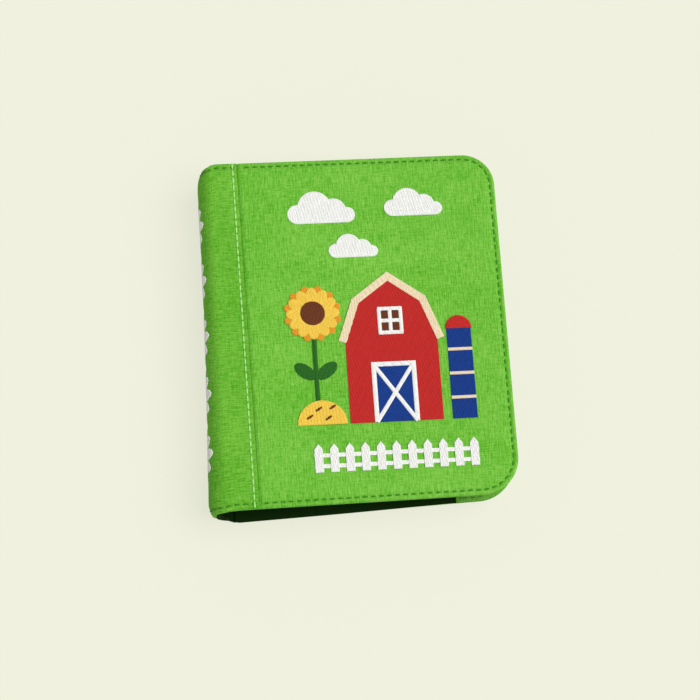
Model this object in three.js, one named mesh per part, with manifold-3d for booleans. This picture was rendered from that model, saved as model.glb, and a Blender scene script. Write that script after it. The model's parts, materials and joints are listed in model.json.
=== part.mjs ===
// A soft cloth quiet book, closed and lying on its back cover.
// Millimetres, +Z up. The spine is at -X, the fore-edge at +X and the head of the pages at +Y.
// The origin is the middle of the footprint, on the surface that the book lies on.
import * as THREE from 'three';
import { mergeVertices } from 'three/addons/utils/BufferGeometryUtils.js';
import Module from 'manifold-3d';

const wasm = await Module();
wasm.setup();

// Closed book
const bookWidth = 200;
const bookHeight = 230;
const cornerRadius = 18;

// Plies of the covers and the spine, from the outside in
const clothThickness = 1.2;
const foamThickness = 1.8;
const liningThickness = 1.0;
const plyGap = 0.3;

// Spine: its two rolled edges, its drawn-in ends, and the spine panel's reach over each cover
const spineRoll = 13;
const spineScoop = 11;
const foldGap = 0.8;
const stripWidth = 18;

// Sleeve of cover cloth, turned in at each fore-edge
const sleeveWidth = 40;
const sleeveThickness = 1.0;

// Felt leaves: two sheets each, on a tab that ends in a round bead
const leafCount = 4;
const leafSheet = 0.9;
const leafEndInset = 7;
const leafForeInset = 8;
const leafCornerRadius = 12;
const tabEndInset = 17;
const hingeFromFold = 2;
const beadGap = 0.4;

// Felt patches, and the brads that hold the turning ones
const patchThickness = 0.7;
const bradHeadRadius = 5;
const bradHeadThickness = 0.5;
const bradShankRadius = 2.2;
const turningGap = 0.3;

// Room between pages, over what stands on them at the spine and between bare sheets at the fore-edge
const pageAir = 1.7;
const pageGapAtForeEdge = 1.2;

// Tractor page: places are from the leaf's hinge and from the tail edge of the leaf
const tractorGround = 28;
const rearWheelRadius = 26;
const rearWheelFromHinge = 48;
const frontWheelRadius = 16;
const axleSpacing = 62;
const treadDepth = 2.2;
const archGap = 2;
const rearWheelLugs = 20;
const frontWheelLugs = 14;
const bonnetHeight = 26;
const bonnetOverhang = 20;
const stackWidth = 5;
const stackHeight = 20;
const cabWidth = 34;
const cabHeight = 40;
const cabFrame = 6;
const cabRoof = 7;

// Windmill page
const millGround = 18;
const millFromHinge = 62;
const towerHeight = 88;
const towerBaseWidth = 52;
const towerTopWidth = 30;
const towerDoorWidth = 16;
const towerDoorHeight = 26;
const capHeight = 32;
const capOverhang = 4;
const sailRadius = 42;
const sailWidth = 12;
const sailStart = 13;
const sailFrame = 3;
const sparWidth = 4;
const sailHubRadius = 7;

// Clock page
const clockFromHinge = 58;
const clockFromTail = 128;
const dialRadius = 40;
const dialThickness = 0.5;
const handThickness = 0.5;
const hourHandLength = 21;
const minuteHandLength = 31;
const handTipWidth = 3;
const handHubRadius = 5.5;
const hourHandTurn = Math.PI / 3;
const minuteHandTurn = -Math.PI / 3;

// Carrot bed page
const carrotCount = 3;
const carrotWidth = 19;
const carrotLength = 60;
const carrotTopLength = 24;
const carrotPlay = 1;
const bedFromHinge = 14;
const bedFromTail = 14;
const bedHeight = 56;
const bedSeam = 7;
const bedFurrow = 5;

// Zipped keeping pocket inside the back cover
const pocketFromFold = 24;
const pocketWidth = 88;
const pocketHeight = 170;
const pocketSeam = 4;
const pocketMouthMargin = 14;
const zipFromPocketEdge = 24;
const zipMouthWidth = 13;
const tapeWidth = 24;
const tapeThickness = 0.5;
const zipToothPitch = 3;
const zipToothHeight = 0.6;
const zipChainBase = 0.4;
const zipChainWidth = 5;
const sliderLength = 10;
const sliderWall = 1.6;
const sliderTop = 0.5;
const pullLength = 22;
const pullWidth = 6;
const pullThickness = 0.6;
const pullHoleRadius = 1.6;

// Sun inside the front cover
const sunFromFold = 58;
const sunFromHead = 60;
const sunRadius = 20;
const sunRayLength = 9;
const sunRays = 12;

// Curve steps
const curveSegments = 10;
const lugSegments = 1;
const roundSides = 28;

// Colours
const green = 0x74bf43;
const darkGreen = 0x14290c;
const foamWhite = 0xe9e6da;
const red = 0xc93a34;
const blue = 0x1f4fa3;
const yellow = 0xf0c94a;
const cream = 0xf3e6c4;
const brown = 0x6b3f22;
const orange = 0xe8812b;
const leafGreen = 0x3f9a3c;
const black = 0x262422;
const brass = 0xc79a4a;
const clothRoughness = 0.95;
const metalRoughness = 0.35;

// Sizes worked out from the ones above
const coverThickness = clothThickness + foamThickness + liningThickness + 2 * plyGap;
const trayHeight = clothThickness + plyGap + foamThickness;
const coverWidth = bookWidth - spineRoll - foldGap;
const spineX = spineRoll - bookWidth / 2;
const coverX = spineX + foldGap;
const leafThickness = 2 * leafSheet + plyGap;
const millStack = 3 * plyGap + 2 * patchThickness + bradHeadThickness;
const clockStack = 4 * plyGap + dialThickness + 2 * handThickness + bradHeadThickness;
const pageGapAtSpine = Math.max(millStack, clockStack) + pageAir;
const sleeveStack = coverThickness + plyGap + sleeveThickness;
const leavesThickness = leafCount * leafThickness;
const spineThickness = 2 * coverThickness + leavesThickness + (leafCount + 1) * pageGapAtSpine;
const foreEdgeThickness = 2 * sleeveStack + leavesThickness + (leafCount + 1) * pageGapAtForeEdge;
const coverTilt = Math.atan((spineThickness - foreEdgeThickness) / coverWidth);
const hingeX = coverX + hingeFromFold;
const leafWidth = bookWidth / 2 - leafForeInset - hingeX;
const leafHeight = bookHeight - 2 * leafEndInset;
const leafStart = leafThickness / 2 + beadGap;
const leafTail = -leafHeight / 2;
const recto = leafThickness / 2 + plyGap;
const boreRadius = bradShankRadius + turningGap;

// A named mesh with a finish of its own
function piece(name, geometry, color, roughness = clothRoughness, metalness = 0) {
  const finish = new THREE.MeshStandardMaterial({ color, roughness, metalness });
  const mesh = new THREE.Mesh(geometry, finish);
  mesh.name = name;
  return mesh;
}

function at(object, x, y, z) {
  object.position.set(x, y, z);
  return object;
}

function groupOf(...members) {
  const group = new THREE.Group();
  group.add(...members);
  return group;
}

// A flat piece of the given outline
function slab(shape, thickness, lift = 0, steps = curveSegments) {
  const options = { depth: thickness, bevelEnabled: false, curveSegments: steps };
  return new THREE.ExtrudeGeometry(shape, options).translate(0, 0, lift);
}

// An outline drawn in X and Z, run along Y and centred on it
function run(shape, length) {
  return slab(shape, length).rotateX(Math.PI / 2).translate(0, length / 2, 0);
}

function rectangle(left, bottom, right, top) {
  const shape = new THREE.Shape();
  shape.moveTo(left, bottom);
  shape.lineTo(right, bottom);
  shape.lineTo(right, top);
  shape.lineTo(left, top);
  return shape;
}

function disc(x, y, radius) {
  return new THREE.Shape().absarc(x, y, radius, 0, 2 * Math.PI);
}

function solidOf(geometry) {
  const bare = geometry.clone();
  bare.deleteAttribute('normal');
  bare.deleteAttribute('uv');
  const welded = mergeVertices(bare);
  const vertProperties = Float32Array.from(welded.attributes.position.array);
  const triVerts = Uint32Array.from(welded.index.array);
  return new wasm.Manifold(new wasm.Mesh({ numProp: 3, vertProperties, triVerts }));
}

function geometryOf(solid) {
  const mesh = solid.getMesh();
  const geometry = new THREE.BufferGeometry();
  geometry.setAttribute('position', new THREE.BufferAttribute(mesh.vertProperties, 3));
  geometry.setIndex(new THREE.BufferAttribute(mesh.triVerts, 1));
  geometry.computeVertexNormals();
  return geometry;
}

function cut(base, ...tools) {
  const rest = tools.reduce((solid, tool) => solid.subtract(solidOf(tool)), solidOf(base));
  return geometryOf(rest);
}

function common(base, tool) {
  return geometryOf(solidOf(base).intersect(solidOf(tool)));
}

// Outline of a cover, square at the fold and rounded at the fore-edge
function coverShape(start, inset) {
  const end = coverWidth - inset;
  const half = bookHeight / 2 - inset;
  const radius = cornerRadius - inset;
  const shape = new THREE.Shape();
  shape.moveTo(start, half);
  shape.lineTo(start, -half);
  shape.absarc(end - radius, radius - half, radius, -Math.PI / 2, 0);
  shape.absarc(end - radius, half - radius, radius, 0, Math.PI / 2);
  return shape;
}

// One cover, outer face at Z = 0 and inner face up: cloth turned up round a foam pad, with the
// spine panel's strip beside the fold, a felt lining over both and a sleeve at the fore-edge
function cover(side) {
  const seam = stripWidth + plyGap;
  const half = bookHeight / 2;
  const well = foamThickness + 2 * plyGap;
  const cloth = cut(
    slab(coverShape(seam, 0), trayHeight),
    slab(coverShape(0, clothThickness), well, clothThickness),
  );
  const strip = cut(
    slab(rectangle(0, -half, stripWidth, half), trayHeight),
    slab(rectangle(-seam, clothThickness - half, seam, half - clothThickness), well, clothThickness),
  );
  const foam = slab(coverShape(0, clothThickness + plyGap), foamThickness, clothThickness + plyGap);
  const lining = slab(coverShape(0, 0), liningThickness, coverThickness - liningThickness);
  const sleeve = slab(coverShape(coverWidth - sleeveWidth, 0), sleeveThickness, coverThickness + plyGap);
  return groupOf(
    piece(`${side}_cover_cloth`, cloth, green),
    piece(`${side}_spine_strip`, strip, green),
    piece(`${side}_cover_foam`, foam, foamWhite),
    piece(`${side}_cover_lining`, lining, darkGreen),
    piece(`${side}_cover_sleeve`, sleeve, green),
  );
}

// One ply of the spine: a channel with rolled edges whose head and tail are drawn in
function spinePly(inset, thickness) {
  const outer = spineRoll - inset;
  const inner = outer - thickness;
  const upper = spineThickness - spineRoll;
  const section = new THREE.Shape();
  section.absarc(0, spineRoll, outer, -Math.PI / 2, -Math.PI, true);
  section.absarc(0, upper, outer, Math.PI, Math.PI / 2, true);
  section.absarc(0, upper, inner, Math.PI / 2, Math.PI, false);
  section.absarc(0, spineRoll, inner, -Math.PI, -Math.PI / 2, false);

  const half = bookHeight / 2;
  const plan = new THREE.Shape();
  plan.moveTo(foldGap, -half);
  plan.lineTo(foldGap, half);
  plan.absellipse(0, half - spineScoop, spineRoll, spineScoop, Math.PI / 2, Math.PI);
  plan.absellipse(0, spineScoop - half, spineRoll, spineScoop, Math.PI, 1.5 * Math.PI);
  return common(run(section, bookHeight), slab(plan, spineThickness + 2 * plyGap, -plyGap));
}

function spine() {
  const foamInset = clothThickness + plyGap;
  const liningInset = coverThickness - liningThickness;
  return groupOf(
    piece('spine_panel', spinePly(0, clothThickness), green),
    piece('spine_foam', spinePly(foamInset, foamThickness), foamWhite),
    piece('spine_lining', spinePly(liningInset, liningThickness), darkGreen),
  );
}

// Height of a leaf's middle at the spine and at its fore-edge. Leaf 1 is the top one.
function leafLevel(number, start, gap) {
  const place = leafCount + 1 - number;
  return start + place * gap + (place - 0.5) * leafThickness;
}

// Felt tab from the spine lining to a leaf's hinge, in the leaf's own frame before it tilts
function leafTab(number) {
  const level = leafLevel(number, coverThickness, pageGapAtSpine);
  const bead = leafThickness / 2;
  const rollDrop = spineRoll - (level - bead);
  const rollRise = level + bead - (spineThickness - spineRoll);
  const offCentre = Math.max(0, rollDrop, rollRise);
  const wallReach = Math.sqrt((spineRoll - coverThickness) ** 2 - offCentre ** 2);
  const wall = spineX - wallReach + plyGap - hingeX;
  const section = new THREE.Shape();
  section.moveTo(wall, bead);
  section.lineTo(wall, -bead);
  section.absarc(0, 0, bead, -Math.PI / 2, Math.PI / 2);
  const tab = piece(`leaf_${number}_tab`, run(section, bookHeight - 2 * tabEndInset), darkGreen);
  return at(tab, hingeX, 0, level);
}

function leafShape() {
  const half = leafHeight / 2;
  const radius = leafCornerRadius;
  const shape = new THREE.Shape();
  shape.moveTo(leafStart, half);
  shape.lineTo(leafStart, -half);
  shape.absarc(leafWidth - radius, radius - half, radius, -Math.PI / 2, 0);
  shape.absarc(leafWidth - radius, half - radius, radius, 0, Math.PI / 2);
  return shape;
}

// A leaf on its hinge, tilted towards the thin fore-edge, with what is sewn to its recto
function leaf(number, ...activities) {
  const atSpine = leafLevel(number, coverThickness, pageGapAtSpine);
  const atForeEdge = leafLevel(number, sleeveStack, pageGapAtForeEdge);
  const group = groupOf(
    piece(`leaf_${number}_recto`, slab(leafShape(), leafSheet, plyGap / 2), darkGreen),
    piece(`leaf_${number}_verso`, slab(leafShape(), leafSheet, -plyGap / 2 - leafSheet), darkGreen),
    ...activities,
  );
  group.rotation.y = Math.atan((atSpine - atForeEdge) / leafWidth);
  return at(group, hingeX, 0, atSpine);
}

// Brad: a shank through what turns, under a flat round head
function brad(name, shankLength) {
  const profile = [
    new THREE.Vector2(0, 0),
    new THREE.Vector2(bradShankRadius, 0),
    new THREE.Vector2(bradShankRadius, shankLength),
    new THREE.Vector2(bradHeadRadius, shankLength),
    new THREE.Vector2(bradHeadRadius, shankLength + bradHeadThickness / 2),
    new THREE.Vector2(bradHeadRadius - bradHeadThickness, shankLength + bradHeadThickness),
    new THREE.Vector2(0, shankLength + bradHeadThickness),
  ];
  const geometry = new THREE.LatheGeometry(profile, roundSides).rotateX(Math.PI / 2);
  return piece(name, geometry, brass, metalRoughness, 1);
}

// What a brad's bore takes out of a patch, with room to run past both faces
function bore() {
  return slab(disc(0, 0, boreRadius), patchThickness + 2 * plyGap, -plyGap);
}

// A tyre with square lugs round it and a bore for its brad
function wheel(name, radius, lugs) {
  const shape = new THREE.Shape();
  const step = (2 * Math.PI) / lugs;
  for (let lug = 0; lug < lugs; lug += 1) {
    const start = lug * step;
    shape.absarc(0, 0, radius, start, start + step / 2);
    shape.absarc(0, 0, radius - treadDepth, start + step / 2, start + step);
  }
  const tyre = slab(shape, patchThickness, 0, lugSegments);
  return piece(name, cut(tyre, bore()), black);
}

function tractor() {
  const ground = leafTail + tractorGround;
  const rearX = rearWheelFromHinge;
  const rearY = ground + rearWheelRadius;
  const frontX = rearX + axleSpacing;
  const frontY = ground + frontWheelRadius;
  const sill = rearY;
  const bonnet = rearY + bonnetHeight;
  const fender = rearY + rearWheelRadius + archGap + cabFrame;
  const nose = frontX + bonnetOverhang;
  const cabRight = rearX + cabWidth / 2;
  const stackLeft = frontX - stackWidth / 2;

  const side = new THREE.Shape();
  side.moveTo(rearX - rearWheelRadius, sill);
  side.lineTo(nose, sill);
  side.quadraticCurveTo(nose, bonnet, nose - bonnetHeight / 2, bonnet);
  side.lineTo(stackLeft + stackWidth, bonnet);
  side.lineTo(stackLeft + stackWidth, bonnet + stackHeight);
  side.lineTo(stackLeft, bonnet + stackHeight);
  side.lineTo(stackLeft, bonnet);
  side.lineTo(rearX + rearWheelRadius, bonnet);
  side.quadraticCurveTo(rearX + rearWheelRadius, fender, cabRight, fender);
  side.lineTo(rearX - cabWidth / 2, fender);
  side.quadraticCurveTo(rearX - rearWheelRadius, fender, rearX - rearWheelRadius, sill);
  const depth = patchThickness + 2 * plyGap;
  const body = cut(
    slab(side, patchThickness),
    slab(disc(rearX, rearY, rearWheelRadius + archGap), depth, -plyGap),
    slab(disc(frontX, frontY, frontWheelRadius + archGap), depth, -plyGap),
  );

  const cabFloor = fender + plyGap;
  const eaves = cabFloor + cabHeight - cabRoof;
  const cabLeft = rearX - cabWidth / 2;
  const cab = new THREE.Shape();
  cab.moveTo(cabLeft, cabFloor);
  cab.lineTo(cabRight, cabFloor);
  cab.lineTo(cabRight, eaves);
  cab.lineTo(cabRight + cabFrame, eaves);
  cab.lineTo(cabRight, eaves + cabRoof);
  cab.lineTo(cabLeft, eaves + cabRoof);
  cab.lineTo(cabLeft - cabFrame, eaves);
  cab.lineTo(cabLeft, eaves);
  cab.holes.push(rectangle(cabLeft + cabFrame, cabFloor + cabFrame, cabRight - cabFrame, eaves));

  const shankLength = patchThickness + plyGap;
  return [
    at(piece('tractor_body', body, blue), 0, 0, recto),
    at(piece('tractor_cab', slab(cab, patchThickness), yellow), 0, 0, recto),
    at(wheel('rear_wheel', rearWheelRadius, rearWheelLugs), rearX, rearY, recto),
    at(brad('rear_wheel_brad', shankLength), rearX, rearY, recto),
    at(wheel('front_wheel', frontWheelRadius, frontWheelLugs), frontX, frontY, recto),
    at(brad('front_wheel_brad', shankLength), frontX, frontY, recto),
  ];
}

// One sail drawn upwards from the hub: a spar with a framed cloth beside it
function sailShape() {
  const edge = sparWidth / 2;
  const outer = edge + sailWidth;
  const middle = (sailStart + sailRadius) / 2;
  const shape = new THREE.Shape();
  shape.moveTo(-edge, 0);
  shape.lineTo(edge, 0);
  shape.lineTo(edge, sailStart);
  shape.lineTo(outer, sailStart);
  shape.lineTo(outer, sailRadius - sailFrame);
  shape.lineTo(outer - sailFrame, sailRadius);
  shape.lineTo(-edge, sailRadius);
  const right = outer - sailFrame;
  shape.holes.push(rectangle(edge, sailStart + sailFrame, right, middle - sailFrame / 2));
  shape.holes.push(rectangle(edge, middle + sailFrame / 2, right, sailRadius - sailFrame));
  return shape;
}

function sails() {
  const blade = slab(sailShape(), patchThickness);
  const hub = solidOf(slab(disc(0, 0, sailHubRadius), patchThickness));
  const cross = [0, 1, 2, 3].reduce(
    (solid, quarter) => solid.add(solidOf(blade.clone().rotateZ((quarter * Math.PI) / 2))),
    hub,
  );
  return geometryOf(cross.subtract(solidOf(bore())));
}

function windmill() {
  const ground = leafTail + millGround;
  const top = ground + towerHeight;
  const x = millFromHinge;
  const tower = new THREE.Shape();
  tower.moveTo(x - towerBaseWidth / 2, ground);
  tower.lineTo(x - towerDoorWidth / 2, ground);
  tower.lineTo(x - towerDoorWidth / 2, ground + towerDoorHeight - towerDoorWidth / 2);
  tower.absarc(x, ground + towerDoorHeight - towerDoorWidth / 2, towerDoorWidth / 2, Math.PI, 0, true);
  tower.lineTo(x + towerDoorWidth / 2, ground);
  tower.lineTo(x + towerBaseWidth / 2, ground);
  tower.lineTo(x + towerTopWidth / 2, top);
  tower.lineTo(x - towerTopWidth / 2, top);

  const eaves = top + plyGap;
  const half = towerTopWidth / 2 + capOverhang;
  const cap = new THREE.Shape();
  cap.moveTo(x - half, eaves);
  cap.lineTo(x + half, eaves);
  cap.quadraticCurveTo(x + half, eaves + capHeight, x, eaves + capHeight);
  cap.quadraticCurveTo(x - half, eaves + capHeight, x - half, eaves);

  const hubY = eaves + capHeight / 2;
  const seat = recto + patchThickness + plyGap;
  return [
    at(piece('windmill_tower', slab(tower, patchThickness), cream), 0, 0, recto),
    at(piece('windmill_cap', slab(cap, patchThickness), red), 0, 0, recto),
    at(piece('windmill_sails', sails(), yellow), x, hubY, seat),
    at(brad('windmill_brad', patchThickness + plyGap), x, hubY, seat),
  ];
}

// A clock hand: a round hub with a bore, drawn to a blunt tip
function hand(name, length, turn) {
  const lean = Math.PI / 10;
  const shape = new THREE.Shape();
  shape.absarc(0, 0, handHubRadius, Math.PI - lean, 2 * Math.PI + lean);
  shape.lineTo(handTipWidth / 2, length);
  shape.lineTo(-handTipWidth / 2, length);
  shape.holes.push(disc(0, 0, boreRadius));
  const mesh = piece(name, slab(shape, handThickness), red);
  mesh.rotation.z = turn;
  return mesh;
}

function clock() {
  const x = clockFromHinge;
  const y = leafTail + clockFromTail;
  const hourSeat = recto + dialThickness + plyGap;
  const minuteSeat = hourSeat + handThickness + plyGap;
  const shankLength = 2 * (handThickness + plyGap);
  return [
    at(piece('clock_dial', slab(disc(0, 0, dialRadius), dialThickness), cream), x, y, recto),
    at(hand('hour_hand', hourHandLength, hourHandTurn), x, y, hourSeat),
    at(hand('minute_hand', minuteHandLength, minuteHandTurn), x, y, minuteSeat),
    at(brad('clock_brad', shankLength), x, y, hourSeat),
  ];
}

function carrotRoot() {
  const half = carrotWidth / 2;
  const shoulder = carrotLength - half;
  const shape = new THREE.Shape();
  shape.moveTo(0, 0);
  shape.bezierCurveTo(half / 2, 0, half, shoulder / 2, half, shoulder);
  shape.quadraticCurveTo(half, carrotLength, 0, carrotLength);
  shape.quadraticCurveTo(-half, carrotLength, -half, shoulder);
  shape.bezierCurveTo(-half, shoulder / 2, -half / 2, 0, 0, 0);
  return shape;
}

// Three pointed leaflets on a short neck
function carrotTop() {
  const half = carrotWidth / 2;
  const neck = carrotWidth / 8;
  const start = carrotLength + plyGap;
  const tip = start + carrotTopLength;
  const fork = start + carrotTopLength / 2;
  const shape = new THREE.Shape();
  shape.moveTo(-neck, start);
  shape.lineTo(neck, start);
  shape.quadraticCurveTo(half, fork, half, tip - half / 2);
  shape.quadraticCurveTo(neck, tip - half, neck, fork);
  shape.quadraticCurveTo(half / 2, tip - half / 2, 0, tip);
  shape.quadraticCurveTo(-half / 2, tip - half / 2, -neck, fork);
  shape.quadraticCurveTo(-neck, tip - half, -half, tip - half / 2);
  shape.quadraticCurveTo(-half, fork, -neck, start);
  return shape;
}

// A felt bed sewn into channels, one for each carrot, with a furrowed upper edge
function carrotBed() {
  const channel = carrotWidth + 2 * carrotPlay;
  const pitch = channel + bedSeam;
  const width = carrotCount * pitch + bedSeam;
  const left = bedFromHinge;
  const bottom = leafTail + bedFromTail;
  const mouth = bottom + bedHeight;
  const outline = new THREE.Shape();
  outline.moveTo(left, bottom);
  outline.lineTo(left + width, bottom);
  outline.lineTo(left + width, mouth);
  for (let furrow = 0; furrow < carrotCount; furrow += 1) {
    const right = left + width - (furrow * width) / carrotCount;
    const middle = right - width / carrotCount / 2;
    outline.quadraticCurveTo(middle, mouth + 2 * bedFurrow, right - width / carrotCount, mouth);
  }
  const depth = patchThickness + plyGap;
  const channels = [];
  const carrots = [];
  for (let number = 1; number <= carrotCount; number += 1) {
    const start = left + bedSeam + (number - 1) * pitch;
    const shape = rectangle(start, bottom + bedSeam, start + channel, mouth + 2 * bedFurrow);
    channels.push(slab(shape, depth + plyGap, -plyGap));
    const foot = bottom + bedSeam + carrotPlay;
    const root = piece(`carrot_${number}_root`, slab(carrotRoot(), patchThickness), orange);
    const top = piece(`carrot_${number}_top`, slab(carrotTop(), patchThickness), leafGreen);
    carrots.push(at(groupOf(root, top), start + channel / 2, foot, recto));
  }
  const bed = cut(slab(outline, depth + patchThickness), ...channels);
  return [at(piece('carrot_bed', bed, brown), 0, 0, recto), ...carrots];
}

// Zip chain seen from the side, a base with a tooth on every pitch
function zipChain(length) {
  const teeth = Math.floor(length / zipToothPitch);
  const shape = new THREE.Shape();
  shape.moveTo(0, 0);
  shape.lineTo(teeth * zipToothPitch, 0);
  for (let tooth = teeth; tooth > 0; tooth -= 1) {
    const end = tooth * zipToothPitch;
    shape.lineTo(end, zipChainBase + zipToothHeight);
    shape.lineTo(end - zipToothPitch / 2, zipChainBase + zipToothHeight);
    shape.lineTo(end - zipToothPitch / 2, zipChainBase);
    shape.lineTo(end - zipToothPitch, zipChainBase);
  }
  const across = slab(shape, zipChainWidth).rotateX(Math.PI / 2).rotateZ(Math.PI / 2);
  return across.translate(-zipChainWidth / 2, (-teeth * zipToothPitch) / 2, 0);
}

// Zip slider: a cap that straddles the chain on two feet
function zipSlider() {
  const inside = zipChainWidth / 2 + turningGap;
  const outside = inside + sliderWall;
  const roof = zipChainBase + zipToothHeight + turningGap;
  const section = new THREE.Shape();
  section.moveTo(-outside, 0);
  section.lineTo(-inside, 0);
  section.lineTo(-inside, roof);
  section.lineTo(inside, roof);
  section.lineTo(inside, 0);
  section.lineTo(outside, 0);
  section.lineTo(outside, roof);
  section.lineTo(inside, roof + sliderTop);
  section.lineTo(-inside, roof + sliderTop);
  section.lineTo(-outside, roof);
  return run(section, sliderLength);
}

function zipPull() {
  const half = pullWidth / 2;
  const shape = new THREE.Shape();
  shape.absarc(0, 0, half, 0, Math.PI);
  shape.absarc(0, 2 * half - pullLength, half, Math.PI, 2 * Math.PI);
  shape.holes.push(disc(0, 2 * half - pullLength, pullHoleRadius));
  return slab(shape, pullThickness);
}

// Pocket sewn round its edge to the back lining, with a zip along its mouth
function zipPocket() {
  const half = pocketHeight / 2;
  const mouthHalf = half - pocketMouthMargin;
  const zipX = zipFromPocketEdge;
  const cavity = tapeThickness + plyGap;
  const outline = rectangle(0, -half, pocketWidth, half);
  const mouthLeft = zipX - zipMouthWidth / 2;
  outline.holes.push(rectangle(mouthLeft, -mouthHalf, mouthLeft + zipMouthWidth, mouthHalf));
  const inner = rectangle(pocketSeam, pocketSeam - half, pocketWidth - pocketSeam, half - pocketSeam);
  const panel = cut(
    slab(outline, cavity + patchThickness),
    slab(inner, cavity + plyGap, -plyGap),
  );
  const tapeHalf = half - pocketSeam - plyGap;
  const tape = rectangle(zipX - tapeWidth / 2, -tapeHalf, zipX + tapeWidth / 2, tapeHalf);
  const chainLength = 2 * (mouthHalf - plyGap);
  const chainSeat = tapeThickness + plyGap;
  const sliderTopZ = chainSeat + zipChainBase + zipToothHeight + turningGap + sliderTop;
  const closedY = mouthHalf - sliderLength;
  return groupOf(
    piece('zip_pocket', panel, red),
    piece('zip_tape', slab(tape, tapeThickness), cream),
    at(piece('zip_chain', zipChain(chainLength), brass, metalRoughness, 1), zipX, 0, chainSeat),
    at(piece('zip_slider', zipSlider(), brass, metalRoughness, 1), zipX, closedY, chainSeat),
    at(piece('zip_pull', zipPull(), brass, metalRoughness, 1), zipX, closedY, sliderTopZ + plyGap),
  );
}

function sunPatch() {
  const shape = new THREE.Shape();
  const step = (2 * Math.PI) / sunRays;
  for (let ray = 0; ray < sunRays; ray += 1) {
    const start = ray * step;
    const tip = sunRadius + sunRayLength;
    shape.absarc(0, 0, sunRadius, start, start + step / 3);
    shape.lineTo(tip * Math.cos(start + (2 * step) / 3), tip * Math.sin(start + (2 * step) / 3));
  }
  return piece('sun_patch', slab(shape, patchThickness, 0, lugSegments), yellow);
}

const backCover = cover('back');
backCover.add(at(zipPocket(), pocketFromFold, 0, coverThickness + plyGap));
at(backCover, coverX, 0, 0);

// The front cover is the same build turned over and tipped down to the fore-edge
const frontCover = cover('front');
frontCover.add(at(sunPatch(), sunFromFold, sunFromHead - bookHeight / 2, coverThickness + plyGap));
frontCover.rotation.x = Math.PI;
const frontTilt = groupOf(frontCover);
frontTilt.rotation.y = coverTilt;
at(frontTilt, coverX, 0, spineThickness);

const quietBook = groupOf(
  backCover,
  at(spine(), spineX, 0, 0),
  frontTilt,
  leaf(1, ...tractor()),
  leaf(2, ...windmill()),
  leaf(3, ...clock()),
  leaf(4, ...carrotBed()),
);
for (let number = 1; number <= leafCount; number += 1) {
  quietBook.add(leafTab(number));
}

export default quietBook;
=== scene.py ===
# %% [markdown]
# # A soft quiet book
# A quiet book is a cloth book for a baby: two padded covers, a rolled spine and felt leaves with things to
# turn, pull and open. The plain solids of the book come in first as a fixed frame. They say where every
# piece lies and how it moves, so the lesson never has to fit anything by eye.

# %% Load the frame
import json
import math

import bmesh
import bpy
from mathutils import Matrix, Vector, kdtree, noise

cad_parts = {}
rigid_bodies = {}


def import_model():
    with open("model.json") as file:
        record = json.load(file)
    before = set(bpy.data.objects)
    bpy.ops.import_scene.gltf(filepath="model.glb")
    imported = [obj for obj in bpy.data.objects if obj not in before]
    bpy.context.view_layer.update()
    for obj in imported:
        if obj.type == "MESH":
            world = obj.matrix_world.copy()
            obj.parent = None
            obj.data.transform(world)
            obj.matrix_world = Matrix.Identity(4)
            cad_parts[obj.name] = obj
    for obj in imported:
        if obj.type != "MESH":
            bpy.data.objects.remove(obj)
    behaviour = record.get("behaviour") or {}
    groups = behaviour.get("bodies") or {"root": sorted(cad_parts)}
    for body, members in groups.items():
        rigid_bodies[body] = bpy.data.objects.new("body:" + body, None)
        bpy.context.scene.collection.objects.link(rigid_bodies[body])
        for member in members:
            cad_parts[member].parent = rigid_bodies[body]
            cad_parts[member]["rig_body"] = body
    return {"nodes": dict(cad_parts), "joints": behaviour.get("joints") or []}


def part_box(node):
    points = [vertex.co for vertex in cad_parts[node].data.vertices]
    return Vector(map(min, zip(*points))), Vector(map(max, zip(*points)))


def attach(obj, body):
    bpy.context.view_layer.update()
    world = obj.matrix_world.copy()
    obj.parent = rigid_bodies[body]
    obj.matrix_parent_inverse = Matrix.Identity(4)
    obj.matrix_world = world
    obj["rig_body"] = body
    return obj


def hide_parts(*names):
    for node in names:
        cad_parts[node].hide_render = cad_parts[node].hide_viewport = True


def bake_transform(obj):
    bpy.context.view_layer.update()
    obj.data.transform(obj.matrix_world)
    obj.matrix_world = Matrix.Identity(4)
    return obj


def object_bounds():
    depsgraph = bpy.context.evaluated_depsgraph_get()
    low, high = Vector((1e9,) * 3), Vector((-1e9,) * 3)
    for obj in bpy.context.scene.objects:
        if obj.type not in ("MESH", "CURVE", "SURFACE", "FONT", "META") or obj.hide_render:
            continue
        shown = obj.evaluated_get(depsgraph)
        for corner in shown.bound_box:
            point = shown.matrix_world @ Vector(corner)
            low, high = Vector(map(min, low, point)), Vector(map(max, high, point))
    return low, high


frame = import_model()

nodes = frame["nodes"]
joints = {joint["name"]: joint for joint in frame["joints"]}
cad_low, cad_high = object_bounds()
mm = 0.001
print("frame of", len(nodes), "solids,", [round(size / mm, 1) for size in cad_high - cad_low], "mm")

# %% [markdown]
# ## Sizes
# Sizes are read from the frame and not typed again. The back lining gives the cover's width and height, and
# the spine panel gives the roll of the spine. Only what the boxes can't tell, such as the corner's radius,
# is a value of its own. All lengths are in metres, the unit of the scene.

# %% Read the sizes
lining_low, lining_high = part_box("back_cover_lining")
spine_low, spine_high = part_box("spine_panel")
fold_x = lining_low.x
cover_width = lining_high.x - lining_low.x
half_height = lining_high.y
cover_thickness = lining_high.z
lining_thickness = lining_high.z - lining_low.z
book_thickness = spine_high.z
spine_x = spine_high.x
spine_roll = spine_high.x - spine_low.x
head_radius = 21 * mm
tail_radius = 24.5 * mm
back_width = 0.987
cloth_thickness = 1.2 * mm
print("cover", round(cover_width / mm, 1), "by", round(2 * half_height / mm, 1), "mm")

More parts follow.
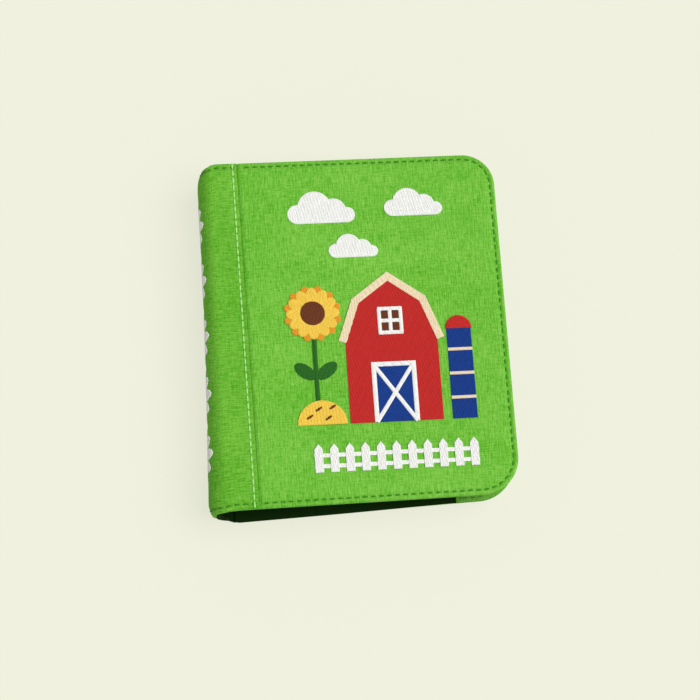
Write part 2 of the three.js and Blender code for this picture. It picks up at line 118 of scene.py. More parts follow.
# %% [markdown]
# ## Planes to draw on
# Covers and leaves are flat, so it is easiest to draw on them in two dimensions. `plane` returns a matrix
# that takes a drawing (across, up, out) to the book. `upward` finds which way a tilted solid looks by
# adding up the normals of its upper faces, each weighted by its area. The back cover looks down, so its
# plane is a mirror image, and what is drawn on it has its faces turned round again. It is also a little
# narrower than the front. A face counts as looking one way if its normal's share in it is over `facing`.

# %% Planes
facing = 0.9


def upward(node):
    """The direction in which the large upper faces of a flat solid look."""
    total = Vector()
    for face in nodes[node].data.polygons:
        if face.normal.z > facing:
            total += face.area * face.normal
    return total.normalized()


def plane(origin, out):
    """A matrix from a flat drawing to the book: X runs to the fore-edge and Z points out."""
    fore = Vector((1, 0, 0))
    across = (fore - fore.dot(out) * out).normalized()
    matrix = Matrix((across, out.cross(across), out)).transposed().to_4x4()
    matrix.translation = origin
    return matrix


def drawn_on(matrix):
    """A function that puts a point of a drawing, lifted off it, into the book."""
    return lambda u, v, lift=0.0: matrix @ Vector((u, v, lift))


def put_on(bm, matrix):
    """Moves a drawing onto its plane, with its faces still looking the right way."""
    bmesh.ops.transform(bm, matrix=matrix, verts=bm.verts)
    if matrix.determinant() < 0:
        bmesh.ops.reverse_faces(bm, faces=bm.faces)


front_plane = plane(Vector((fold_x, 0, book_thickness)), upward("front_cover_lining"))
back_plane = Matrix.Translation((fold_x, 0, 0)) @ Matrix.Diagonal((back_width, 1, -1, 1))
print("front cover tilts", round(math.degrees(front_plane.col[2].xyz.angle(Vector((0, 0, 1)))), 2), "degrees")

# %% [markdown]
# ## The camera
# The picture was taken from above the tail of the book with a long lens. The place and the direction were
# found once by matching the cover's corners, and stay here as named values.

# %% Camera
camera_place = Vector((-23.1, -392.7, 1468.1)) * mm
camera_look = Vector((0.013, 0.2546, -0.967)).normalized()
camera_up = Vector((0.0671, 0.9646, 0.2549))
camera_lens = 118.29
camera_film = 36

camera_data = bpy.data.cameras.new("camera")
camera_data.lens = camera_lens
camera_data.sensor_width = camera_film
camera = bpy.data.objects.new("camera", camera_data)
camera_side = camera_look.cross(camera_up).normalized()
turn = Matrix((camera_side, camera_side.cross(camera_look), -camera_look)).transposed()
camera.matrix_world = Matrix.Translation(camera_place) @ turn.to_4x4()
bpy.context.scene.collection.objects.link(camera)
bpy.context.scene.camera = camera
print("camera", round(camera_place.length, 2), "m from the middle of the book")

# %% [markdown]
# ## Shader sums
# Materials in Blender are graphs of nodes, and a graph drawn in code is hard to read. The class below wraps
# one socket, so that `1 - mask * 0.5` adds the Math nodes by itself. Every other node comes from the method
# `node`: its type, its settings and what goes into its sockets.


# %% Wire
class Wire:
    """A shader socket that can be added, multiplied and passed on to other nodes."""

    def __init__(self, tree, socket=None):
        self.tree = tree
        self.socket = socket

    def node(self, kind, settings=None, inputs=None, output=0):
        """Adds a node with its settings and inputs, and returns one of its outputs."""
        made = self.tree.nodes.new("ShaderNode" + kind)
        for name, value in (settings or {}).items():
            if name == "stops":
                for stop, (place, colour) in zip(made.color_ramp.elements, value):
                    stop.position = place
                    stop.color = colour
            else:
                setattr(made, name, value)
        for name, value in (inputs or {}).items():
            self.feed(made.inputs[name], value)
        return Wire(self.tree, made.outputs[output])

    def feed(self, socket, value):
        """Links a wire to a socket, or gives the socket a plain value."""
        if isinstance(value, Wire):
            self.tree.links.new(value.socket, socket)
        else:
            socket.default_value = value

    def math(self, operation, *values):
        """Adds a Math node."""
        return self.node("Math", {"operation": operation}, dict(enumerate(values)))

    def mix(self, factor, one, other):
        """Adds a node that goes from one colour to another, as the factor goes from 0 to 1."""
        return self.node("Mix", {"data_type": "RGBA"}, {0: factor, 6: one, 7: other}, output=2)

    def __add__(self, other):
        return self.math("ADD", self, other)

    __radd__ = __add__

    def __sub__(self, other):
        return self.math("SUBTRACT", self, other)

    def __rsub__(self, other):
        return self.math("SUBTRACT", other, self)

    def __mul__(self, other):
        return self.math("MULTIPLY", self, other)

    __rmul__ = __mul__

    def sine(self):
        """Adds a Math node for the sine."""
        return self.math("SINE", self)


def new_finish(name):
    """A material with its first wire and its shader."""
    material = bpy.data.materials.new(name)
    material.use_nodes = True
    return material, Wire(material.node_tree), material.node_tree.nodes["Principled BSDF"]


def rgb(red, green, blue, value=1.0):
    """A colour written as on a screen, from 0 to 255, in the linear numbers that shaders use."""
    linear = []
    for part in (red, green, blue):
        share = part / 255
        linear.append(value * (share / 12.92 if share <= 0.04045 else ((share + 0.055) / 1.055) ** 2.4))
    return (*linear, 1.0)


print("shader sums are ready")

# %% [markdown]
# ## Stage and light
# The book lies on a plain pale floor under soft studio light. A wide sun lamp gives direction, and the
# world fills the shadows. Together they add up to about one, so that a colour renders as it is written. The
# camera sees the floor's own colour all round, because the world shows that colour to the camera, also by
# way of metal, and white to everything else. Most of what the camera sees of the floor is that plain colour
# too, which keeps the shadow faint.

# %% Stage
pale = rgb(240, 241, 223)
fill_light = 0.36
sun_strength = 2.37
sun_from = Vector((0.62, -0.05, 1.0))
sun_softness = math.radians(50)
floor_size = 3.0
floor_drop = 0.9 * mm
grain_scale = 900.0
darker_grain = rgb(239, 240, 222)
lighter_grain = rgb(241, 242, 224)
shadow_lift = 0.82


def shown(wire):
    """1 for a ray that shows what it meets, straight or by way of metal or glass, and 0 for any other."""
    kinds = ("Is Camera Ray", "Is Glossy Ray", "Is Transmission Ray")
    direct, mirrored, through = [wire.node("LightPath", output=kind) for kind in kinds]
    return wire.math("MAXIMUM", direct, wire.math("MAXIMUM", mirrored, through))


world = bpy.data.worlds.new("studio")
world.use_nodes = True
bpy.context.scene.world = world
sky = Wire(world.node_tree)
seen = shown(sky)
background = world.node_tree.nodes["Background"]
sky.feed(background.inputs["Color"], sky.mix(seen, (1, 1, 1, 1), pale))
sky.feed(background.inputs["Strength"], seen * (1 - fill_light) + fill_light)

lamp = bpy.data.lights.new("sun", "SUN")
lamp.energy = sun_strength
lamp.angle = sun_softness
sun = bpy.data.objects.new("sun", lamp)
sun.rotation_mode = "QUATERNION"
sun.rotation_quaternion = sun_from.to_track_quat("Z", "Y")
bpy.context.scene.collection.objects.link(sun)
bpy.context.scene.view_settings.view_transform = "Standard"


def link_piece(name, bm, *materials):
    """Makes an object of a bmesh, with its materials."""
    mesh = bpy.data.meshes.new(name)
    bm.to_mesh(mesh)
    bm.free()
    for material in materials:
        mesh.materials.append(material)
    piece = bpy.data.objects.new(name, mesh)
    bpy.context.scene.collection.objects.link(piece)
    return piece


floor_finish, wire, shader = new_finish("pale_floor")
floor_spot = wire.node("TexCoord", output="Object")
grain = wire.node("TexNoise", None, {"Vector": floor_spot, "Scale": grain_scale})
wire.feed(shader.inputs["Base Color"], wire.mix(grain, darker_grain, lighter_grain))
shader.inputs["Roughness"].default_value = 1.0
shader.inputs["Specular IOR Level"].default_value = 0.0
glow = wire.node("Emission", None, {"Color": pale})
blend = wire.node("MixShader", None, {0: shadow_lift * shown(wire), 2: glow})
wire.tree.links.new(shader.outputs[0], blend.socket.node.inputs[1])
wire.feed(wire.tree.nodes["Material Output"].inputs["Surface"], blend)
floor_mesh = bmesh.new()
bmesh.ops.create_grid(floor_mesh, x_segments=1, y_segments=1, size=floor_size)
bmesh.ops.translate(floor_mesh, verts=floor_mesh.verts, vec=(0, 0, -floor_drop))
link_piece("floor", floor_mesh, floor_finish)
full_light = fill_light + sun_strength / math.pi * sun_from.normalized().z
print("stage lit with", round(full_light, 2), "of full light")

# %% [markdown]
# ## Heathered cloth
# The covers are a linen-look weave: threads of several greens, spun uneven, so that short light and dark
# streaks run along both thread directions. A picture of cloth would repeat and blur, so the pattern is
# worked out: stretched noises make the streaks, and two sine waves make the threads that cross. It reads
# the piece's own UV map, laid out in metres, so it follows the cloth round the spine and doesn't slide when
# the book opens.

# %% Woven cloth
thread_pitch = 0.62 * mm
slub_width = 0.85 * mm
slub_length = 8 * mm
weave_depth = 0.25 * mm


def woven_cloth(name, dark, middle, light):
    """Cloth with streaks from dark to light, drawn a little towards the middle colour."""
    material, wire, shader = new_finish(name)
    place = wire.node("UVMap")
    across = wire.node("SeparateXYZ", None, {0: place}, output="X")
    along = wire.node("SeparateXYZ", None, {0: place}, output="Y")

    def streaks(width, length, detail):
        spot = wire.node("CombineXYZ", None, {"X": across * (1 / width), "Y": along * (1 / length)})
        inputs = {"Vector": spot, "Scale": 1.0, "Detail": detail, "Roughness": 0.55}
        return wire.node("TexNoise", {"noise_dimensions": "2D"}, inputs)

    warp = streaks(slub_width, slub_length, 2.0)
    weft = streaks(slub_length, slub_width, 2.0)
    fleck = streaks(1.5 * slub_width, 2.2 * slub_width, 1.0)
    cloud = streaks(5 * slub_length, 4 * slub_length, 1.0)
    tone = 0.42 * warp + 0.26 * weft + 0.20 * fleck + 0.12 * cloud
    wave = 2 * math.pi / thread_pitch
    threads = (across * wave).sine() * (along * wave).sine()
    stops = [(0.36, dark), (0.64, light)]
    shade = wire.node("ValToRGB", {"stops": stops}, {"Fac": tone + 0.012 * threads})
    colour = wire.mix(0.35, shade, middle)
    wire.feed(shader.inputs["Base Color"], colour)
    height = 0.6 * threads + 1.6 * warp + 1.2 * weft
    bump = wire.node("Bump", None, {"Strength": 0.35, "Distance": weave_depth, "Height": height})
    wire.feed(shader.inputs["Normal"], bump)
    shader.inputs["Roughness"].default_value = 0.92
    shader.inputs["Specular IOR Level"].default_value = 0.12
    return material


cover_cloth = woven_cloth("green_cloth", rgb(66, 161, 10), rgb(107, 188, 47), rgb(152, 217, 95))
spine_cloth = woven_cloth("spine_green_cloth", rgb(58, 151, 4), rgb(99, 180, 39), rgb(143, 209, 82))
print("woven", cover_cloth.name, "and", spine_cloth.name)

# %% [markdown]
# ## Felt and thread
# Felt has no weave: short fibres lie in every direction, so a fine and a broad noise give it both its bump
# and its mottled colour. Sewing thread is smoother and has some gloss, and every stitch carries its own
# `tone`, painted light and shade that make one stitch look a little lighter than the next. Both take one
# colour and make a darker and a lighter one of it. Leaves bend, so their felt reads the UV map, and patches
# that only ride along read Object coordinates.

# %% Felt and thread
fibre = 0.35 * mm
mottle = 3.5 * mm
felt_depth = 0.3 * mm
twist_length = 0.22 * mm
twist_depth = 0.1 * mm


def felt(name, colour, on_uv=False):
    """Mottled felt round one colour, which reads the UV map on a piece that bends."""
    material, wire, shader = new_finish(name)
    place = wire.node("UVMap") if on_uv else wire.node("TexCoord", output="Object")
    fibres = {"Vector": place, "Scale": 1 / fibre, "Detail": 3.0, "Distortion": 1.2}
    fine = wire.node("TexNoise", None, fibres)
    broad = wire.node("TexNoise", None, {"Vector": place, "Scale": 1 / mottle, "Detail": 2.0})
    tone = 0.6 * fine + 0.4 * broad
    stops = [(0.34, rgb(*colour, value=0.72)), (0.66, rgb(*colour, value=1.22))]
    shade = wire.node("ValToRGB", {"stops": stops}, {"Fac": tone})
    wire.feed(shader.inputs["Base Color"], shade)
    bump = wire.node("Bump", None, {"Strength": 0.5, "Distance": felt_depth, "Height": fine + 0.7 * broad})
    wire.feed(shader.inputs["Normal"], bump)
    shader.inputs["Roughness"].default_value = 0.95
    shader.inputs["Specular IOR Level"].default_value = 0.1
    return material


def thread(name, colour):
    """Sewing thread with a fine twist, darker or lighter by each stitch's own tone, which is painted light
    and shade.
    """
    material, wire, shader = new_finish(name)
    place = wire.node("TexCoord", output="Object")
    tone = wire.node("Attribute", {"attribute_name": "tone"}, output="Fac")
    twist = wire.node("TexNoise", None, {"Vector": place, "Scale": 1 / twist_length, "Detail": 1.0})
    stops = [(0.0, rgb(*colour, value=0.82)), (1.0, rgb(*colour, value=1.06))]
    shade = wire.node("ValToRGB", {"stops": stops}, {"Fac": 0.75 * tone + 0.4 * twist})
    wire.feed(shader.inputs["Base Color"], shade)
    wire.feed(shader.inputs["Roughness"], 0.42 + 0.25 * twist)
    bump = wire.node("Bump", None, {"Strength": 0.3, "Distance": twist_depth, "Height": twist})
    wire.feed(shader.inputs["Normal"], bump)
    shader.inputs["Specular IOR Level"].default_value = 0.18
    return material


# Linings, leaves and spine padding are near-black felt: partly the felt's own dark green, partly painted
# shade for the deep slot between the covers and the rim at the tail.
dark_felt = felt("dark_felt", (17, 45, 6), on_uv=True)
edge_thread = thread("dark_green_thread", (62, 138, 22))
seam_thread = thread("pale_green_thread", (170, 231, 132))
print("felt and thread are ready")

# %% [markdown]
# ## Rows of stitches
# A running stitch shows as short dashes that dive into the cloth at both ends. A whole thread could be
# modelled, up and down through the cloth, but only the dashes show. So each is a small ball stretched along
# the row and sunk about halfway, with a few dozen faces, because there are thousands. `dashes` walks along
# a line of points and returns where each dash begins and ends.

# %% Stitches
ball_sides = 8
ball_rings = 5
batch_size = 40
tone_scale = 1700.0


def dashes(line, pitch, share=0.66):
    """Pairs of points, one for each dash along a line, all the same length apart."""
    ends = [Vector(point) for point in line]
    lengths = [(b - a).length for a, b in zip(ends, ends[1:])]
    total = sum(lengths)
    count = max(1, round(total / pitch))

    def at(distance):
        for start, end, length in zip(ends, ends[1:], lengths):
            if distance <= length:
                return start.lerp(end, distance / length)
            distance -= length
        return ends[-1]

    step = total / count
    margin = step * (1 - share) / 2
    return [(at(i * step + margin), at((i + 1) * step - margin)) for i in range(count)]


def add_balls(bm, pairs, place, width, height, lift, sides, rings):
    """Adds a stretched ball for each pair of points of a drawing that `place` puts into the book."""
    tone = bm.faces.layers.float.new("tone")
    for a, b in pairs:
        middle = (a + b) / 2
        centre = place(middle.x, middle.y, lift)
        out = (place(middle.x, middle.y, lift + mm) - centre).normalized()
        run = place(b.x, b.y, lift) - place(a.x, a.y, lift)
        side = out.cross(run).normalized()
        turned = Matrix((side * width / 2, out * height / 2, run / 2)).transposed().to_4x4()
        turned.translation = centre
        ball = bmesh.ops.create_uvsphere(bm, u_segments=sides, v_segments=rings, radius=1, matrix=turned)
        # Each stitch's own tone paints how much light it catches.
        own = 0.5 + 0.5 * noise.noise(middle.to_3d() * tone_scale)
        for face in {face for vert in ball["verts"] for face in vert.link_faces}:
            face[tone] = own
            face.smooth = True


def sew(name, pairs, place, finish, width, height, lift=0.0, sides=ball_sides, rings=ball_rings, base=None):
    """One mesh of stitches, over a base mesh if there is one, made in batches to be quick."""
    whole = bmesh.new() if base is None else base
    batch = bpy.data.meshes.new("batch")
    for first in range(0, len(pairs), batch_size):
        bm = bmesh.new()
        add_balls(bm, pairs[first:first + batch_size], place, width, height, lift, sides, rings)
        bm.to_mesh(batch)
        bm.free()
        whole.from_mesh(batch)
    bpy.data.meshes.remove(batch)
    return link_piece(name, whole, finish)


def arc(x, y, radius, start, end, steps=10):
    """Points of an arc, with its angles in degrees."""
    angles = [math.radians(start + (end - start) * i / steps) for i in range(steps + 1)]
    return [Vector((x + radius * math.cos(angle), y + radius * math.sin(angle))) for angle in angles]


print("stitches have", ball_sides * ball_rings, "faces each")

# %% [markdown]
# ## The edge of a cover
# A row of dark stitches holds the cloth, the foam and the lining together. It runs about 3 mm inside the
# head, the fore-edge and the tail, round the two corners. Its needle holes are kept, because the padded
# cloth dips at each.

# %% Edge row
edge_inset = 3.2 * mm
edge_pitch = 5.2 * mm
strip_width = 17.4 * mm
strip_skew = 1.0 * mm
seam_from_fold = 14.6 * mm
seam_pitch = 4.9 * mm


def edge_line(start, inset=edge_inset):
    """The edge row of a cover, from the spine panel's strip along the head, down the fore-edge and back."""
    side = cover_width - inset
    end = half_height - inset
    head_turn = head_radius - inset
    tail_turn = tail_radius - inset
    head = [Vector((start, end))] + arc(side - head_turn, end - head_turn, head_turn, 90, 0)
    tail = arc(side - tail_turn, tail_turn - end, tail_turn, 0, -90) + [Vector((start, -end))]
    return head + tail


edge_dashes = dashes(edge_line(0.0), edge_pitch)
holes = [point for pair in edge_dashes for point in pair]
hole_tree = kdtree.KDTree(len(holes))
for number, hole in enumerate(holes):
    hole_tree.insert((hole.x, hole.y, 0), number)
hole_tree.balance()
print(len(edge_dashes), "stitches round each cover")

# %% [markdown]
# ## Grids
# A sheet of cloth starts as a flat grid. An even grid that is fine enough for a rolled rim would be far too
# heavy, so `spaced` sets the lines close together at the rims and wider between. `rounded` bends the two
# outer corners to arcs, which keeps every face four-sided, and the UV map keeps each point's place on the
# flat cloth.

# %% Grids
cloth_step = 1.35 * mm
rim_steps = [step * mm for step in (0, 0.15, 0.5, 1.0, 1.6, 2.2, 2.9, 3.5, 4.1, 4.8, 5.8)]


def spaced(length, step, first, last):
    """Places along a side, as close as `first` and `last` say at its ends and `step` apart between."""
    start = list(first)
    end = [length - place for place in reversed(last)]
    count = round((end[0] - start[-1]) / step)
    inner = [start[-1] + (end[0] - start[-1]) * i / count for i in range(1, count)]
    return start + inner + end


def grid_of(across, up):
    """A bmesh grid whose lines lie at the given places, and each point's place on it."""
    bm = bmesh.new()
    bmesh.ops.create_grid(bm, x_segments=len(across) - 1, y_segments=len(up) - 1, size=1)
    for vert in bm.verts:
        column = round((vert.co.x + 1) / 2 * (len(across) - 1))
        row = round((vert.co.y + 1) / 2 * (len(up) - 1))
        vert.co = (across[column], up[row], 0)
    return bm


def rounded(u, v, width, half, head, tail):
    """A point of a rectangle, with its two corners at the fore-edge bent to arcs."""
    radius = head if v > 0 else tail
    a = (u - (width - radius)) / radius
    b = (abs(v) - (half - radius)) / radius
    if a <= 0 or b <= 0:
        return u, v
    bent = half - radius + radius * b * math.sqrt(1 - a * a / 2)
    return width - radius + radius * a * math.sqrt(1 - b * b / 2), math.copysign(bent, v)


def lay_uv(bm, flat):
    """A UV map in metres: `flat` gives each point's place on the flat cloth."""
    layer = bm.loops.layers.uv.new("cloth")
    for face in bm.faces:
        face.smooth = True
        for loop in face.loops:
            loop[layer].uv = flat[loop.vert]


print(len(rim_steps), "grid lines lie within", round(rim_steps[-1] / mm, 1), "mm of a rim")

# %% [markdown]
# ## How the cloth lies
# A cover is cloth drawn over thin foam. It could be simulated, but foam this thin hardly swells: what shows
# is the rolled edge, the lip outside the stitches, and the dip at each needle hole. So `cover_height` lets
# every point sink by its distance from the edge and from the nearest hole. `tapered` pulls the whole book
# out of square, as soft books are: its tail slopes, and its ends are drawn in beside the spine.

# %% Cloth height
rim_radius = 1.7 * mm
lip_drop = 0.35 * mm
groove_depth = 0.45 * mm
groove_width = 1.1 * mm
hole_depth = 0.55 * mm
hole_width = 1.15 * mm
strip_sink = 1.1 * mm
strip_slope = 1 * mm
crease_depth = 0.55 * mm
crease_width = 0.9 * mm
wave_height = 0.5 * mm
wave_length = 38 * mm
wave_fade = 8 * mm
tail_taper = 0.009
back_taper = 0.006
draw_reach = 5.8 * mm
draw_width = 10 * mm
head_draw = 1.7 * mm
tail_draw = 1.9 * mm
tail_hang = 1.3 * mm


def inside_edge(u, v):
    """How far a point of a cover lies inside its head, tail and fore-edge."""
    radius = head_radius if v > 0 else tail_radius
    a = u - (cover_width - radius)
    b = abs(v) - (half_height - radius)
    if a > 0 and b > 0:
        return radius - math.hypot(a, b)
    return radius - max(a, b)


def smooth(value):
    """0 below 0, 1 above 1 and a soft step between."""
    share = min(1, max(0, value))
    return share * share * (3 - 2 * share)


def bell(distance, width):
    """1 at no distance, with soft shoulders."""
    return math.exp(-((distance / width) ** 2))


def cover_height(u, v):
    """How high the cloth of a cover stands over its flat outer face."""
    inset = inside_edge(u, v)
    short = max(0, rim_radius - inset)
    height = math.sqrt(max(0, rim_radius**2 - short**2)) - rim_radius
    height -= lip_drop * (1 - smooth((inset - edge_inset) / (3 * groove_width)))
    height -= groove_depth * bell(inset - edge_inset, groove_width)
    nearest = hole_tree.find((u, v, 0))[2]
    height -= hole_depth * bell(nearest, hole_width)
    past = u - strip_width + strip_skew * v / half_height
    sink = strip_sink * (1 - smooth(past / strip_slope))
    height -= sink + crease_depth * bell(past - crease_width, crease_width)
    slow = Vector((u / wave_length, v / wave_length, 0.3))
    return height + wave_height * min(0, noise.noise(slow)) * smooth(inset / wave_fade)


def tapered(u, v, depth=0.0):
    """Where the height `v` of a flat cover lies on the soft book. The tail slopes up towards the fore-edge,
    more so at the back, where `depth` is 1. Beside the spine the ends are drawn in, but the front's tail
    hangs out."""
    near = 1 - smooth((u + draw_reach) / draw_width)
    if v > 0:
        return v * (1 - near * head_draw / half_height)
    slope = tail_taper + back_taper * max(0, 2 * depth - 1)
    draw = (tail_draw + tail_hang) * smooth(depth) - tail_hang
    return v * (1 + slope * (1 - 2 * max(0, u) / cover_width) - near * draw / half_height)


edge_height = cover_height(cover_width / 2, half_height - edge_inset)
print("the cloth sinks", round(-edge_height / mm, 2), "mm at the edge row")

# %% [markdown]
# ## Padded covers
# The flat grid of a cover takes these heights. Its rim is extruded down and closed underneath, so that
# cloth and foam are one closed piece, and the edge row lies in the dips. The spine's strip will cover the
# part beside the fold, so the grid is wide there and fine only at the crease where the strip ends.

# %% Cover cloth
covered_steps = [0, 5 * mm, 10 * mm]
crease_step = 0.4 * mm
edge_stitch = (1.15 * mm, 0.7 * mm)
edge_stitch_lift = 0.2 * mm


def padded_cover(name, matrix, thickness, depth):
    """Cloth over foam: the outer face of a cover, with its rolled rim, closed underneath."""
    crease = [strip_width + i * crease_step for i in range(-4, 10)]
    across = spaced(cover_width, cloth_step, covered_steps + crease, rim_steps)
    up = [place - half_height for place in spaced(2 * half_height, cloth_step, rim_steps, rim_steps)]
    bm = grid_of(across, up)
    flat = {}
    for vert in bm.verts:
        u, v = rounded(vert.co.x, vert.co.y, cover_width, half_height, head_radius, tail_radius)
        flat[vert] = (u, v)
        vert.co = (u, tapered(u, v, depth), cover_height(u, v))
    rim = [edge for edge in bm.edges if edge.is_boundary]
    skirt = bmesh.ops.extrude_edge_only(bm, edges=rim)["geom"]
    for vert in [item for item in skirt if isinstance(item, bmesh.types.BMVert)]:
        flat[vert] = (vert.co.x + thickness, vert.co.y)
        vert.co.z = -thickness
    lower = [item for item in skirt if isinstance(item, bmesh.types.BMEdge) and item.is_boundary]
    bmesh.ops.edgeloop_fill(bm, edges=lower)
    bmesh.ops.recalc_face_normals(bm, faces=bm.faces)
    lay_uv(bm, flat)
    put_on(bm, matrix)
    return link_piece(name, bm, cover_cloth)


cover_sides = (("front", front_plane, 0.0), ("back", back_plane, 1.0))
for side, matrix, depth in cover_sides:
    cover = padded_cover(f"{side}_cover_padding", matrix, cover_thickness - lining_thickness, depth)
    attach(cover, f"{side}_cover")
    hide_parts(f"{side}_cover_cloth", f"{side}_cover_foam")
    row = [pair for pair in edge_dashes if min(pair[0].x, pair[1].x) > strip_width]
    place = drawn_on(matrix)

    def sunk(u, v, lift=0.0):
        return place(u, tapered(u, v, depth), lift + cover_height(u, v))

    stitches = sew(f"{side}_edge_stitches", row, sunk, edge_thread, *edge_stitch, edge_stitch_lift)
    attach(stitches, f"{side}_cover")
    print(cover.name, len(cover.data.polygons), "faces")

# %% [markdown]
# ## Linings and sleeves
# Inside each cover lies a felt lining, and at the fore-edge the cover's cloth is turned in as a sleeve.
# Both are plain sheets: a grid in the shape of the cover, thickened by a Solidify modifier and softened by
# a Bevel. Near the spine the back's lining is a little longer than its cover, so at the tail its dark felt
# hides the cover's rim: a dark edge that is partly painted shade. At the head both linings end a little
# short.

# %% Inner sheets
sheet_step = 4 * mm
sheet_rim = rim_steps[::3]
sleeve_width = 40 * mm
sleeve_start = cover_width - sleeve_width
sleeve_thickness = 1.0 * mm
sleeve_gap = 0.3 * mm
sleeve_line = cover_thickness + sleeve_gap
sleeve_inset = 2.5 * mm
sleeve_bevel = 0.35 * mm
sleeve_stitch = (1.0 * mm, 0.6 * mm)
hem_x = sleeve_start + 3 * mm
lining_bevel = 0.3 * mm
lining_reach = 0.7 * mm
lining_short = 0.8 * mm
lining_fade = 0.6 * cover_width
sheet_corner = math.radians(50)


def soften(piece, thickness, offset, bevel, inner=0):
    """Gives a sheet its thickness and round edges. Its inner side takes the material `inner` slots on."""
    solid = piece.modifiers.new("thickness", "SOLIDIFY")
    solid.thickness = thickness
    solid.offset = offset
    solid.use_even_offset = True
    solid.material_offset = inner
    edge = piece.modifiers.new("soft_edge", "BEVEL")
    edge.width = bevel
    edge.segments = 2
    edge.limit_method = "ANGLE"
    edge.angle_limit = sheet_corner


def inner_sheet(name, start, height, matrix, depth, finish, reach=0.0):
    """A sheet on the inside of a cover, `height` below its outer face. `reach` lengthens its tail near the
    spine."""
    across = [start + place for place in spaced(cover_width - start, sheet_step, [0], sheet_rim)]
    up = [place - half_height for place in spaced(2 * half_height, sheet_step, sheet_rim, sheet_rim)]
    bm = grid_of(across, up)
    flat = {}
    for vert in bm.verts:
        u, v = rounded(vert.co.x, vert.co.y, cover_width, half_height, head_radius, tail_radius)
        flat[vert] = (u, v)
        # Where `reach` lengthens the back lining, its dark felt covers the cover's rim at the tail: partly
        # painted shade.
        longer = (reach if v < 0 else -lining_short) * (1 - smooth(u / lining_fade - 0.5))
        vert.co = (u, tapered(u, v, depth) * (1 + longer / half_height), -height)
    lay_uv(bm, flat)
    put_on(bm, matrix)
    return link_piece(name, bm, finish)


for side, matrix, depth in cover_sides:
    level = cover_thickness - lining_thickness
    lining = inner_sheet(f"{side}_lining", 0.0, level, matrix, depth, dark_felt, depth * lining_reach)
    soften(lining, lining_thickness, -1, lining_bevel)
    sleeve = inner_sheet(f"{side}_sleeve", sleeve_start, sleeve_line, matrix, depth, cover_cloth)
    soften(sleeve, sleeve_thickness, -1, sleeve_bevel)
    for piece in (lining, sleeve):
        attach(piece, f"{side}_cover")
        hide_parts(f"{side}_cover_{piece.name.split('_')[1]}")
    padding = f"{side}_cover_padding"
    place = drawn_on(matrix)

    def under(u, v, lift=0.0):
        return place(u, tapered(u, v, depth), -lift)

    row = dashes(edge_line(sleeve_start + edge_inset, sleeve_inset), edge_pitch)
    hem = dashes([(hem_x, half_height), (hem_x, -half_height)], edge_pitch)
    inside = sleeve_line + sleeve_thickness
    stitches = sew(f"{side}_sleeve_stitches", row + hem, under, edge_thread, *sleeve_stitch, inside)
    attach(stitches, f"{side}_cover")
    print(lining.name, "and", sleeve.name, "are on the inside of the", side, "cover")

# %% [markdown]
# ## The line round the spine
# One strip of cloth, cut across the grain, wraps the spine and reaches over both covers. Its way is a line
# in section: up the wall, round the roll and out over the cover. `spine_place` follows that line, so that
# what is drawn flat can be folded round it point by point. The soft wall isn't straight: it leans in, most
# towards the head, and is pinched at both ends.

# %% Spine line
wall_half = book_thickness / 2 - spine_roll
roll_length = spine_roll * math.pi / 2
strip_end = wall_half + roll_length + (fold_x - spine_x) + strip_width
strip_lift = 0.4 * mm
tail_lean = -0.4 * mm
head_lean = 3.6 * mm
wall_bow = 1.8 * mm
head_pinch = (5 * mm, 15 * mm)
tail_pinch = (3 * mm, 9 * mm)


def spine_section(s):
    """Where a distance along the upper half lies, seen from the tail, and which way the cloth looks there."""
    if s <= wall_half:
        return Vector((spine_x - spine_roll, 0, book_thickness / 2 + s)), Vector((-1, 0, 0))
    if s <= wall_half + roll_length:
        angle = (s - wall_half) / spine_roll
        out = Vector((-math.cos(angle), 0, math.sin(angle)))
        return Vector((spine_x, 0, book_thickness - spine_roll)) + spine_roll * out, out
    fore = front_plane.col[0].xyz
    start = Vector((spine_x, 0, book_thickness))
    return start + (s - wall_half - roll_length) * fore, front_plane.col[2].xyz


def lower_section(s):
    """The same for the lower half, whose cover isn't tilted."""
    if s <= wall_half + roll_length:
        spot, out = spine_section(s)
        return Vector((spot.x, 0, book_thickness - spot.z)), Vector((out.x, 0, -out.z))
    return Vector((spine_x + s - wall_half - roll_length, 0, 0)), Vector((0, 0, -1))


def spine_lean(x, y):
    """How far the soft wall leans in: more at the head than the tail, bowed between and round at the ends."""
    share = min(1, max(0, (spine_x - x) / spine_roll))
    up = (y / half_height + 1) / 2
    pinch, length = head_pinch if y > 0 else tail_pinch
    near = min(1, max(0, 1 - (half_height - abs(y)) / length))
    lean = tail_lean + (head_lean - tail_lean) * up + wall_bow * 4 * up * (1 - up)
    return share * (lean + pinch * (1 - math.sqrt(1 - near * near)))


def spine_place(section, tuck=0.0):
    """A function that puts a place on the strip into the book. Y is measured on a strip with straight ends.
    `tuck` makes the part beyond the wall shorter at the tail."""

    def put(s, y, lift=0.0):
        spot, out = section(s - strip_skew * y / half_height * (s / strip_end) ** 2)
        spot.y = tapered(spot.x - fold_x, y, 1 - spot.z / book_thickness)
        if y < 0:
            spot.y *= 1 - tuck * smooth((s - wall_half) / roll_length) / half_height
        spot.x += spine_lean(spot.x, y)
        return spot + (lift + strip_lift) * out

    return put


print("the spine's line is", round(strip_end / mm, 1), "mm long, from the middle of the wall")

# %% [markdown]
# ## Cloth of the spine
# A grid folded round that line makes the strip, in an upper and a lower half that meet in the middle of the
# wall. The strip dips at its seam, its ends and each needle hole, as the covers do. The lower half ends a
# little short of the tail, where the dark felt comes out under it.

# %% Spine cloth
head_steps = [step * mm for step in (0, 0.4, 1.0, 1.7, 2.4, 3.1, 3.8, 4.5, 5.4, 6.6)]
strip_bevel = 0.4 * mm
seam_share = 0.96
seam_stitch = (1.3 * mm, 0.7 * mm)
end_stitch_lift = -0.3 * mm


